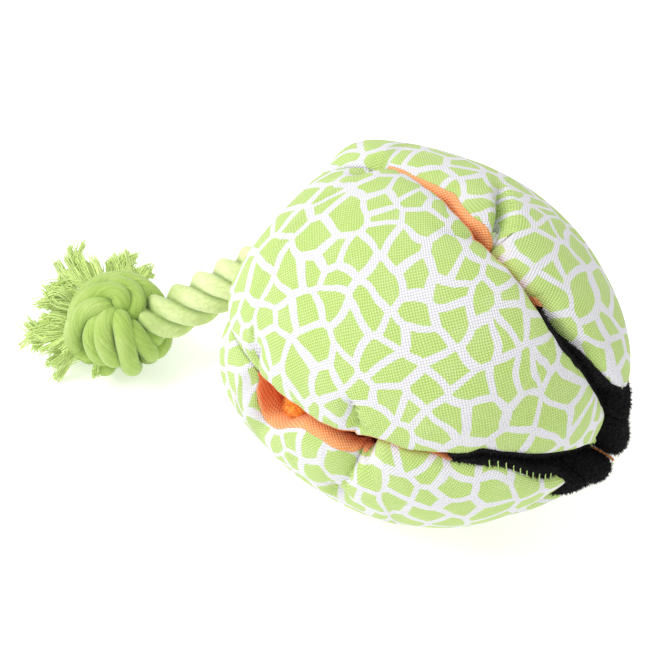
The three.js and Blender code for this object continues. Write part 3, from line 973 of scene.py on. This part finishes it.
# Fuzz: short hairs of mixed sizes stand on a surface at random leans, and the surface stays under them
def makeFuzzTree(smallest=0.55, largest=1.25):
    inputs = [
        ("Density", "NodeSocketFloat"),
        ("Length", "NodeSocketFloat"),
        ("Thickness", "NodeSocketFloat"),
        ("Lean", "NodeSocketVector"),
        ("Seed", "NodeSocketInt"),
        ("Finish", "NodeSocketMaterial"),
    ]
    tree, given, result = newTree("fuzz", inputs)
    out = given.outputs
    spread = treeNode(
        tree, "GeometryNodeDistributePointsOnFaces", {"distribute_method": "RANDOM"},
        {"Mesh": out["Geometry"], "Density": out["Density"], "Seed": out["Seed"]},
    )
    hair = treeNode(
        tree, "GeometryNodeMeshCone", {"fill_type": "NONE"},
        {"Vertices": 3, "Radius Top": 0.0, "Radius Bottom": out["Thickness"], "Depth": out["Length"]},
    )
    negative = treeNode(tree, "ShaderNodeVectorMath", {"operation": "SCALE"}, {0: out["Lean"], "Scale": -1.0})
    lean = treeNode(
        tree, "FunctionNodeRandomValue", {"data_type": "FLOAT_VECTOR"},
        {0: negative.outputs[0], 1: out["Lean"], "Seed": out["Seed"]},
    )
    tilt = treeNode(tree, "FunctionNodeEulerToRotation", {}, {0: lean.outputs[0]})
    turned = treeNode(
        tree, "FunctionNodeRotateRotation", {"rotation_space": "LOCAL"},
        {0: spread.outputs["Rotation"], 1: tilt.outputs[0]},
    )
    sizes = {2: smallest, 3: largest, "Seed": out["Seed"]}
    size = treeNode(tree, "FunctionNodeRandomValue", {"data_type": "FLOAT"}, sizes)
    hairs = treeNode(
        tree, "GeometryNodeInstanceOnPoints", {},
        {
            "Points": spread.outputs["Points"],
            "Instance": hair.outputs["Mesh"],
            "Rotation": turned.outputs[0],
            "Scale": size.outputs[1],
        },
    )
    real = treeNode(tree, "GeometryNodeRealizeInstances", {}, {0: hairs.outputs[0]})
    joined = treeNode(tree, "GeometryNodeJoinGeometry", {}, {0: out["Geometry"]})
    tree.links.new(real.outputs[0], joined.inputs[0])
    painted = treeNode(tree, "GeometryNodeSetMaterial", {}, {0: joined.outputs[0], "Material": out["Finish"]})
    tree.links.new(painted.outputs[0], result.inputs[0])
    return tree


# Threads: tubes along loose lines, thinner where the line's radius says so
def makeThreadTree():
    inputs = [("Thickness", "NodeSocketFloat"), ("Sides", "NodeSocketInt"), ("Finish", "NodeSocketMaterial")]
    tree, given, result = newTree("threads", inputs)
    out = given.outputs
    line = treeNode(tree, "GeometryNodeMeshToCurve", {}, {"Mesh": out["Geometry"]})
    ring = treeNode(
        tree, "GeometryNodeCurvePrimitiveCircle", {}, {"Resolution": out["Sides"], "Radius": out["Thickness"]}
    )
    tube = treeNode(
        tree, "GeometryNodeCurveToMesh", {},
        {"Curve": line.outputs[0], "Profile Curve": ring.outputs["Curve"], "Fill Caps": True},
    )
    real = treeNode(tree, "GeometryNodeRealizeInstances", {}, {0: tube.outputs[0]})
    smooth = treeNode(tree, "GeometryNodeSetShadeSmooth", {}, {0: real.outputs[0]})
    painted = treeNode(tree, "GeometryNodeSetMaterial", {}, {0: smooth.outputs[0], "Material": out["Finish"]})
    tree.links.new(painted.outputs[0], result.inputs[0])
    return tree


fuzzTree = makeFuzzTree()
threadTree = makeThreadTree()


def fuzzed(name, source, pile, seed, finish):
    values = {
        "Density": pile["density"],
        "Length": pile["hairLength"],
        "Thickness": pile["hairThickness"],
        "Lean": pile["lean"],
        "Seed": seed,
        "Finish": finish,
    }
    return grown(name, source, fuzzTree, values)


# A piece of threads along loose lines, with a radius for each point where they differ
def threaded(name, points, edges, thread, finish, radii=()):
    source = newPiece("looseLines", points, [], finish, edges=edges)
    if len(radii):
        pointAttribute(source.data, "radius", "FLOAT", radii)
    values = {"Thickness": thread["thickness"], "Sides": thread["sides"], "Finish": finish}
    return grown(name, source, threadTree, values)


# Hook and loop tape on the sides and tip of each petal
tape = {
    "rows": 44,
    "columns": 22,
    "overSeam": math.radians(1),
    "reach": math.radians(-91),  # round the cross-section, to the middle of the inner face
    "overEnd": {3: 5.0, 4: 5.0},  # degrees before the tip from where it wraps to a petal's outside
    "plainEnd": 0.4,
    "stand": 1.6,
    "sunk": 0.2,
    "flatEdge": (0.4, 3.0),  # share of its stand at the edge, and columns until all of it
    "density": 3.2e6,
    "hairLength": 0.0014,
    "hairThickness": 0.00015,
    "lean": (0.9, 0.9, 3.1),
}


def tapeGrid(petal, side):
    end = tipAngle(petal, 0)
    angles = anglesToTip(petal, slitRule["tapeStart"], tape["rows"])
    first = seamTurn(petal, angles, side)[:, 0] + tape["overSeam"]
    wrap = math.radians(tape["overEnd"].get(petal["number"], tape["plainEnd"]))
    first = first + (math.pi / 2 - first) * ease(end - wrap, end - wrap / 3, angles)
    turn = first[:, None] + (tape["reach"] - first[:, None]) * np.linspace(0, 1, tape["columns"])
    turn = turn if side > 0 else math.pi - turn
    bare = petalPoint(petal, angles[:, None], turn)
    middle = petalPoint(petal, angles[:, None], np.array([[0.0, math.pi]])).mean(axis=1, keepdims=True)
    normals, _ = gridNormals(bare, bare - middle)
    normals[-3:] = unitRows(normals[-4] + unitRows(bare[-4] - bare[-6]))
    least, columns = tape["flatEdge"]
    stand = tape["stand"] * (least + (1 - least) * ease(0.0, columns, np.arange(tape["columns"])))
    return bare + normals * stand[:, None], bare - middle


for petal in petals:
    number = petal["number"]
    for side, kind in ((1, "hook"), (-1, "loop")):
        grid, away = tapeGrid(petal, side)
        base = clothPiece(f"{kind}Base", grid, away, tapeFinish, thickness=tape["stand"] - tape["sunk"])
        tapePiece = fuzzed(f"{kind}Tape_{number}", base, tape, 10 * number + side, tapeFinish)
        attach(tapePiece, petal["body"])
        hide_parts(f"{petal['body']}_{kind}_tape")
print("tape sewn on")


# The bound edge of the lining, seen between the tips of two petals
binding = {
    "petal": 3,
    "beforeTip": math.radians(3.2),
    "turn": (math.radians(-88), math.radians(20)),
    "stand": 2.3,
    "points": 20,
    "thickness": 0.0006,
    "sides": 8,
}
bound = petals[binding["petal"] - 1]
boundAngle = np.full(binding["points"], tipAngle(bound, 0) - binding["beforeTip"])
boundTurn = np.linspace(*binding["turn"], binding["points"])
boundLine = petalPoint(bound, boundAngle, boundTurn, -binding["stand"])
boundEdges = [(i, i + 1) for i in range(binding["points"] - 1)]
bindingPiece = threaded("liningBinding", boundLine, boundEdges, binding, liningFinish)
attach(bindingPiece, bound["body"])


# Stitches that hold the tape to the cover's edge: one short thread after another over the seam
stitch = {
    "pitch": 2.8,
    "onCover": 0.8,
    "onTape": 0.2,
    "turnShare": 3.2,
    "stand": 0.2,
    "overTape": tape["stand"] + 0.2,
    "slant": math.radians(0.8),
    "afterStart": math.radians(9),
    "beforeTip": math.radians(3),
    "places": (0.0, 0.35, 0.7, 1.0),
    "thickness": 0.00022,
    "sides": 5,
}


def stitchLines(petal, side):
    start = slitRule["tapeStart"] + stitch["afterStart"]
    angles = np.linspace(start, tipAngle(petal, 0) - stitch["beforeTip"], 400)
    seam = seamTurn(petal, angles, side)
    edge = petalPoint(petal, angles[:, None], seam if side > 0 else math.pi - seam)[:, 0]
    along = lengthAlong(edge)
    count = int(along[-1] / stitch["pitch"])
    angle = np.interp(np.linspace(0, along[-1], count), along, angles)
    seam = seamTurn(petal, angle, side)[:, 0]
    lines = []
    for share in stitch["places"]:
        lean = stitch["onCover"] - share * (stitch["onCover"] + stitch["onTape"])
        lean = lean / ball["wall"] * stitch["turnShare"]
        turn = seam + lean if side > 0 else math.pi - seam - lean
        out = stitch["stand"] + stitch["overTape"] * ease(0.0, 0.7, share)
        lines.append(petalPoint(petal, angle + share * stitch["slant"], turn, -out))
    return np.stack(lines, axis=1)


stitchedSides = {2: (1, -1), 3: (1, -1), 4: (1, -1), 5: (-1,)}
for petal in petals[1:]:
    teeth = np.concatenate([stitchLines(petal, side) for side in stitchedSides[petal["number"]]])
    edges = [(4 * i + j, 4 * i + j + 1) for i in range(len(teeth)) for j in range(3)]
    stitches = threaded(f"stitches_{petal['number']}", teeth, edges, stitch, threadFinish)
    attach(stitches, petal["body"])
print("stitches made")


# Fleece pulp strips behind the slits, sewn to the cup's lining
pulp = {
    "width": 22.0,
    "thickness": 5.0,
    "top": 18.9,
    "start": math.radians(52),
    "end": math.radians(88),
    "endShare": 0.35,
    "fading": math.radians(14),
    "lumps": 0.7,
    "rows": 26,
    "columns": 17,
    "density": 1.6e6,
    "hairLength": 0.0021,
    "hairThickness": 0.00016,
    "lean": (0.8, 0.8, 3.1),
}
# The strip behind the gaping slit has slipped sideways, and a lump of it stands up in the mouth
mouth = {"shift": math.radians(13), "rise": 10.5, "at": (math.radians(80), math.radians(19)), "size": 11.0}


def pulpGrid(azimuth, seed, slipped):
    angles = np.linspace(pulp["start"], pulp["end"], pulp["rows"])[:, None]
    turn = np.linspace(0, 2 * math.pi, 2 * pulp["columns"])[None]
    fading = 1 - ease(pulp["end"] - pulp["fading"], pulp["end"], angles)
    half = pulp["width"] / 2 / (ball["radius"] - pulp["top"])
    reach = half * (pulp["endShare"] + (1 - pulp["endShare"]) * np.sqrt(fading))
    side = reach * signedPower(np.cos(turn), 0.7)
    lumps = noiseGrid(angles * 9 + 0 * turn, np.cos(turn) * 1.5 + 0 * angles, seed) * pulp["lumps"]
    depth = pulp["top"] + pulp["thickness"] * (0.5 - 0.5 * signedPower(np.sin(turn), 0.6)) + lumps
    around = side / np.sin(angles)
    if slipped:
        around = around + mouth["shift"]
        away = np.hypot(angles - mouth["at"][0], around - mouth["at"][1]) * ball["radius"]
        depth = depth - mouth["rise"] * bell(away / mouth["size"]) * (0.5 + 0.5 * np.sin(turn)) ** 0.5
    return underSurface(fromStem(angles, azimuth + around), depth)


# Faces of a tube of rows that run round it, with both ends closed
def tubeFaces(rows, columns, first=0):
    index = first + np.arange(rows * columns).reshape(rows, columns)
    nextColumn = np.roll(index, -1, axis=1)
    quads = np.stack([index[:-1], index[1:], nextColumn[1:], nextColumn[:-1]], -1).reshape(-1, 4)
    return quads.tolist() + [index[0].tolist(), index[-1][::-1].tolist()]


# A closed piece whose faces look outwards
def solidPiece(name, points, faces, finish):
    piece = newPiece(name, points, faces, finish)
    mesh = piece.data
    mesh.calc_loop_triangles()
    corners = np.array([[mesh.vertices[i].co for i in face.vertices] for face in mesh.loop_triangles])
    if np.sum(corners[:, 0] * np.cross(corners[:, 1], corners[:, 2])) < 0:
        mesh.flip_normals()
    return piece


def closedTube(name, grid, finish):
    return solidPiece(name, grid[:, :-1], tubeFaces(len(grid), grid.shape[1] - 1), finish)


for i in range(ball["petals"]):
    strip = closedTube("strip", pulpGrid((i + 1) * sector, 7.3 * i, i == 0), fleeceFinish)
    fleece = fuzzed(f"fleece_{i + 1}", strip, pulp, 70 + i, fleeceFinish)
    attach(fleece, "cup")
    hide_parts(f"pulp_strip_{i + 1}")
print("fleece strips made")


# Tug rope: three strands laid right-handed, from the knot inside the cup to the stopper knot
rope = {
    "diameter": 17.0,
    "strandRadius": 5.4,
    "strandReach": 5.5,
    "valleyFloor": 6.8,
    "valleyShade": (6.8, 9.0),
    "lay": 39.0,  # along the rope for one turn of a strand
    "rings": 190,
    "sides": 48,
    "inside": -41.0,
    "leave": (-23.0, -2.0, 0.5),  # from the stem, the way that the rope heads
    "arrive": (0.6, 2.0),  # share of the way to the knot, and rise over the knot
    "into": (0.26, 0.00, 0.24),  # where it enters the knot: right, up and to the front, for the knot's radius
    "bendTo": (-20.0, -6.0, 0.0),
    "knotReach": (-61.8, -49.0),
    "knotShift": 2.0,  # to the right in the photograph
    "pivotGap": 0.3,
    "knotRadius": 24.0,
}
seenAxes = np.array([list(axis) for axis in cameraAxes(photoView)])  # right, up and back in the photograph
stemPoint = np.array([-stemReach, 0.0, ballMiddle[2]])
pivot = stemPoint + np.array([-rope["pivotGap"] - rope["diameter"] / 2, 0, 0])
knotMiddle = np.array([pivot[0] + rope["knotReach"][0], pivot[1] + rope["knotReach"][1], rope["knotRadius"]])
knotMiddle = knotMiddle + seenAxes[0] * rope["knotShift"]


def ropeRoute(count):
    leave = stemPoint + np.array(rope["leave"])
    arrive = pivot + (knotMiddle - pivot) * rope["arrive"][0]
    arrive[2] = knotMiddle[2] + rope["arrive"][1]
    t = np.linspace(0, 1, 300)[:, None]
    into = knotMiddle + np.array(rope["into"]) @ seenAxes * rope["knotRadius"]
    free = (1 - t) ** 3 * stemPoint + 3 * t * (1 - t) ** 2 * leave + 3 * t**2 * (1 - t) * arrive + t**3 * into
    inside = np.linspace((rope["inside"], 0, ballMiddle[2]), stemPoint, 40)[:-1]
    line = np.concatenate([inside, free])
    steps = lengthAlong(line)
    even = np.linspace(0, steps[-1], count)
    return np.stack([np.interp(even, steps, line[:, i]) for i in range(3)], -1), steps[-1]


# Rows of points round a line, whose directions are carried along it without twist
def roundLine(line, turn, radius):
    ahead = unitRows(np.gradient(line, axis=0))
    side = np.cross(ahead[0], (0.0, 0.0, 1.0))
    sides = []
    for direction in ahead:
        side = side - direction * (side @ direction)
        side = side / np.linalg.norm(side)
        sides.append(side)
    sides = np.array(sides)
    ups = np.cross(ahead, sides)
    out = np.cos(turn)[..., None] * sides[:, None] + np.sin(turn)[..., None] * ups[:, None]
    return line[:, None] + radius[..., None] * out


def twistedRope(name, line, length):
    turn = np.linspace(0, 2 * math.pi, rope["sides"] + 1)[None]
    along = np.linspace(0, length, len(line))[:, None]
    spin = turn - 2 * math.pi * along / rope["lay"]
    lobe = (spin + math.pi / 3) % (2 * math.pi / 3) - math.pi / 3
    reach, strand = rope["strandReach"], rope["strandRadius"]
    inStrand = np.sqrt(np.maximum(strand**2 - (reach * np.sin(lobe)) ** 2, 0))
    radius = reach * np.cos(lobe) + inStrand
    radius = (radius**6 + rope["valleyFloor"] ** 6) ** (1 / 6)
    piece = closedTube(name, roundLine(line, turn, radius), ropeFinish)
    # painted shade in the valleys between the strands, kept in yarnPlace
    paintedValleyShade = 1 - ease(*rope["valleyShade"], radius)
    place = np.stack([along + 0 * turn, lobe * 6.0, paintedValleyShade], -1)[:, :-1]
    pointAttribute(piece.data, "yarnPlace", "FLOAT_VECTOR", place)
    return piece


ropeLine, ropeLength = ropeRoute(rope["rings"])
ropePiece = twistedRope("tugRope", ropeLine, ropeLength)
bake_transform(ropePiece)
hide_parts("tug_rope", "rope_core")
print("rope laid:", round(ropeLength), "mm")


# Knots: strands lie over a ball and over each other. Each is given by places on the knot's face, for its
# radius, as seen from the front, and the same strands are laid turned about on the back.
knot = {
    "strands": [
        [
            (0.63, 0.36), (0.50, 0.66), (0.20, 0.82), (-0.14, 0.82),
            (-0.47, 0.68), (-0.72, 0.44), (-0.83, 0.14), (-0.82, -0.14),
        ],
        [(0.37, 0.16), (0.43, 0.42), (0.32, 0.64), (0.08, 0.76), (-0.12, 0.78)],
        [(0.20, 0.27), (0.11, 0.50), (-0.15, 0.56), (-0.44, 0.45), (-0.66, 0.22), (-0.76, -0.04)],
        [(-0.02, 0.32), (-0.32, 0.28), (-0.58, 0.11), (-0.73, -0.17), (-0.71, -0.43), (-0.60, -0.58)],
        [(-0.08, 0.27), (-0.32, -0.02), (-0.42, -0.31), (-0.33, -0.60), (-0.10, -0.74)],
        [(0.02, 0.27), (-0.12, 0.02), (-0.15, -0.29), (-0.07, -0.56), (0.06, -0.78)],
        [(0.12, 0.22), (0.19, -0.08), (0.23, -0.40), (0.25, -0.69), (0.26, -0.90)],
        [(0.30, 0.00), (0.47, -0.28), (0.60, -0.53), (0.62, -0.78)],
        [(0.60, -0.16), (0.81, -0.36), (0.84, -0.55)],
    ],
    "lifts": [0.00, -0.05, 0.04, 0.06, -0.06, 0.00, 0.05, -0.01, -0.08],
    "strandShare": 0.185,  # a strand's radius for the knot's
    "coreShare": 0.60,
    "dive": 0.20,  # how far the ends of a strand go in, and over what share of it
    "diveReach": 0.12,
    "thinning": 0.35,
    "thinReach": 0.05,
    "shade": (2.2, 0.1),
    "lowest": 0.2,
    "anchorRadius": 14.0,
    "sides": 16,
    "rings": 40,
}
knotTurn = np.linspace(0, 2 * math.pi, knot["sides"] + 1)[None]


# A smooth line through a few places
def smoothLine(places, count):
    places = np.array(places, float)
    padded = np.concatenate([[2 * places[0] - places[1]], places, [2 * places[-1] - places[-2]]])
    line = []
    for at in np.linspace(0, len(places) - 1 - 1e-6, count):
        i, t = int(at), at % 1
        a, b, c, d = padded[i : i + 4]
        line.append(b + 0.5 * t * (c - a + t * (2 * a - 5 * b + 4 * c - d + t * (3 * (b - c) + d - a))))
    return np.array(line)


def knotStrands(middle, radius, facing, across):
    facing = unitRows(facing)
    across = unitRows(across - facing * (across @ facing))
    axes = np.stack([across, np.cross(facing, across), facing])
    share = np.linspace(0, 1, knot["rings"])
    ring = share[:, None] * math.pi
    core = (np.cos(ring), np.sin(ring) * np.cos(knotTurn), np.sin(ring) * np.sin(knotTurn))
    core = unitRows(np.stack(np.broadcast_arrays(*core), -1) + 1e-6)
    spine = middle + np.linspace(-1, 1, knot["rings"])[:, None] * facing * radius
    strands = [(middle + core * radius * knot["coreShare"], spine)]
    shell = 1 - knot["strandShare"]
    dive = bell(share / knot["diveReach"]) + 0.8 * bell((1 - share) / knot["diveReach"])
    thin = knot["thinning"] * (bell(share / knot["thinReach"]) + bell((1 - share) / knot["thinReach"]))
    thick = radius * knot["strandShare"] * (1 - thin)
    for turned in (1, -1):
        for places, lift in zip(knot["strands"], knot["lifts"]):
            seen = smoothLine(places, knot["rings"])
            height = np.sqrt(np.maximum(shell**2 - (seen**2).sum(axis=1), 0.0))
            spot = unitRows(np.column_stack([seen[:, 0] * turned, seen[:, 1], height * turned]))
            spot = spot * (shell + lift - knot["dive"] * dive)[:, None]
            line = middle + radius * (spot @ axes)
            strands.append((roundLine(line, knotTurn, thick[:, None]), line))
    return strands


def knotPiece(name, middle, radius, facing, across):
    points, faces, places = [], [], []
    around = radius * knot["strandShare"] * knotTurn[:, :-1]
    steep, free = knot["shade"]
    for grid, line in knotStrands(middle, radius, facing, across):
        grid = grid[:, :-1]
        faces += tubeFaces(*grid.shape[:2], first=sum(len(rows) for rows in points))
        inward = 1 - np.linalg.norm(grid - middle, axis=-1) / radius
        shade = np.clip(inward * steep - free, 0, 1)
        place = np.stack(np.broadcast_arrays(lengthAlong(line)[:, None], around, shade), -1)
        points.append(grid.reshape(-1, 3))
        places.append(place.reshape(-1, 3))
    points = np.concatenate(points)
    points[:, 2] = np.maximum(points[:, 2], knot["lowest"])
    piece = solidPiece(name, points, faces, knotFinish)
    pointAttribute(piece.data, "yarnPlace", "FLOAT_VECTOR", np.concatenate(places))
    return piece


stopperPiece = knotPiece("stopperKnot", knotMiddle, rope["knotRadius"], seenAxes[2], seenAxes[0])
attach(stopperPiece, "rope")
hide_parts("stopper_knot")
anchorLow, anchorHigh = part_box("anchor_knot")
anchorMiddle = np.array((anchorLow + anchorHigh) / 2) / mm
alongAxis, sideways = np.eye(3)[:2]
anchorPiece = knotPiece("anchorKnot", anchorMiddle, knot["anchorRadius"], alongAxis, sideways)
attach(anchorPiece, "cup")
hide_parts("anchor_knot")
print("knots tied")


# Frayed end: locks of yarn, each from the knot towards its own end, in millimetres from the knot's middle.
# A lock is a few bundles, and the yarns of a bundle wave together.
frayedEnd = {
    "thickness": 0.00028,
    "sides": 3,
    "segments": 12,
    "seed": 4,
    "bundleYarns": 26,
    "bundleRadius": 1.7,
    "coreRadius": 6.5,  # a bundle's middle is one soft thick yarn, for a yarn's thickness
    "rootShare": 0.7,
    "rootScatter": 0.3,
    "tipReach": (0.84, 1.06),
    "scatter": 0.55,
    "bow": 2.5,
    "bowRise": 2.0,
    "wave": (1.6, (4, 8)),
    "curl": (0.35, (7, 15)),
    "yarnReach": (0.95, 1.02),
    "yarnSpread": 0.15,
    "yarnRadius": (0.75, 1.2),
    "lowest": 0.5,
    "locks": [
        {"end": (-40, 9, 7), "bundles": 22, "spread": 8.0},
        {"end": (-40, -9, 0), "bundles": 22, "spread": 8.0},
        {"end": (-31, -23, -8), "bundles": 20, "spread": 7.5},
        {"end": (-18, -25, -13), "bundles": 9, "spread": 5.0},
        {"end": (-25, 27, 2), "bundles": 16, "spread": 5.5},
        {"end": (-14, 29, 0), "bundles": 12, "spread": 4.5},
        {"end": (7, -24, -15), "bundles": 1, "spread": 0.5},
    ],
}


def frayedYarns(fray):
    rng = np.random.default_rng(fray["seed"])
    points, edges, radii = [], [], []
    t = np.linspace(0, 1, fray["segments"])[:, None]

    def waving(size, paces):
        return rng.normal(0, size, 3) * np.sin(t * rng.uniform(*paces) + rng.uniform(0, 6))

    for lock in fray["locks"]:
        end = np.array(lock["end"], float)
        begin = unitRows(end) * rope["knotRadius"] * fray["rootShare"]
        for _ in range(lock["bundles"]):
            tip = end * rng.uniform(*fray["tipReach"]) + rng.normal(0, lock["spread"] * fray["scatter"], 3)
            root = begin + rng.normal(0, lock["spread"] * fray["rootScatter"], 3)
            bow = rng.normal(0, fray["bow"], 3) + np.array([0, 0, fray["bowRise"]])
            middleLine = root + (tip - root) * t + bow * np.sin(np.pi * t) + waving(*fray["wave"]) * t
            for i in range(fray["bundleYarns"]):
                off = rng.normal(0, fray["bundleRadius"] * fray["scatter"], 3) * (i > 0)
                curl = waving(*fray["curl"])
                reach = rng.uniform(*fray["yarnReach"]) if i else fray["yarnReach"][0]
                line = middleLine[0] + (middleLine - middleLine[0]) * reach
                line = line + off * (1.0 + fray["yarnSpread"] * t) + curl * t + knotMiddle
                line[:, 2] = np.maximum(line[:, 2], fray["lowest"])
                first = len(points)
                points += line.tolist()
                edges += [(first + j, first + j + 1) for j in range(len(line) - 1)]
                thick = rng.uniform(*fray["yarnRadius"]) if i else fray["coreRadius"]
                radii += (thick * (1 - 0.5 * t[:, 0] ** 3)).tolist()
    return np.array(points), edges, radii


yarnPoints, yarnEdges, yarnRadii = frayedYarns(frayedEnd)
frayedPiece = threaded("frayedEnd", yarnPoints, yarnEdges, frayedEnd, frayedFinish, yarnRadii)
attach(frayedPiece, "rope")
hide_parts("tassel")
print("end frayed:", len(yarnRadii) // frayedEnd["segments"], "yarns")


# Studio: a pale floor, a large soft light from the upper left, a fill and a weak light from behind
studio = {
    "floorSize": 3.0,
    "floorColour": (0.93, 0.93, 0.93, 1),
    "floorGlow": 0.4,
    "skyStrength": 0.6,
    "key": {"place": (-0.55, -0.55, 0.95), "size": 0.8, "power": 11.0},
    "fill": {"place": (0.9, -0.5, 0.7), "size": 0.9, "power": 1.5},
    "back": {"place": (0.35, 0.70, 0.90), "size": 0.8, "power": 2.0},
}


def addFloor():
    half = studio["floorSize"]
    finish = Finish("paleFloor", roughness=0.9)
    cloudy = finish.noise(finish.spot(), 3.0)
    finish.colour(finish.mix(cloudy * 0.04, studio["floorColour"], (0.85, 0.85, 0.85, 1)))
    finish.shader.inputs["Emission Color"].default_value = (1, 1, 1, 1)
    finish.shader.inputs["Emission Strength"].default_value = studio["floorGlow"]
    corners = [(-half, -half, 0), (half, -half, 0), (half, half, 0), (-half, half, 0)]
    floor = newPiece("floor", np.array(corners) / mm, [(0, 1, 2, 3)], finish.material)


def addLight(name, settings):
    data = bpy.data.lights.new(name, "AREA")
    data.energy = settings["power"]
    data.size = settings["size"]
    lamp = bpy.data.objects.new(name, data)
    lamp.location = settings["place"]
    aim = Vector(photoView["ballPoint"]) - lamp.location
    lamp.rotation_mode = "QUATERNION"
    lamp.rotation_quaternion = aim.to_track_quat("-Z", "Y")
    scene.collection.objects.link(lamp)


def addSky():
    world = bpy.data.worlds.new("studio")
    world.use_nodes = True
    background = world.node_tree.nodes["Background"]
    background.inputs["Color"].default_value = (1, 1, 1, 1)
    background.inputs["Strength"].default_value = studio["skyStrength"]
    scene.world = world


addFloor()
for name in ("key", "fill", "back"):
    addLight(f"{name}Light", studio[name])
addSky()
scene.view_settings.view_transform = "Standard"
print("studio lit")
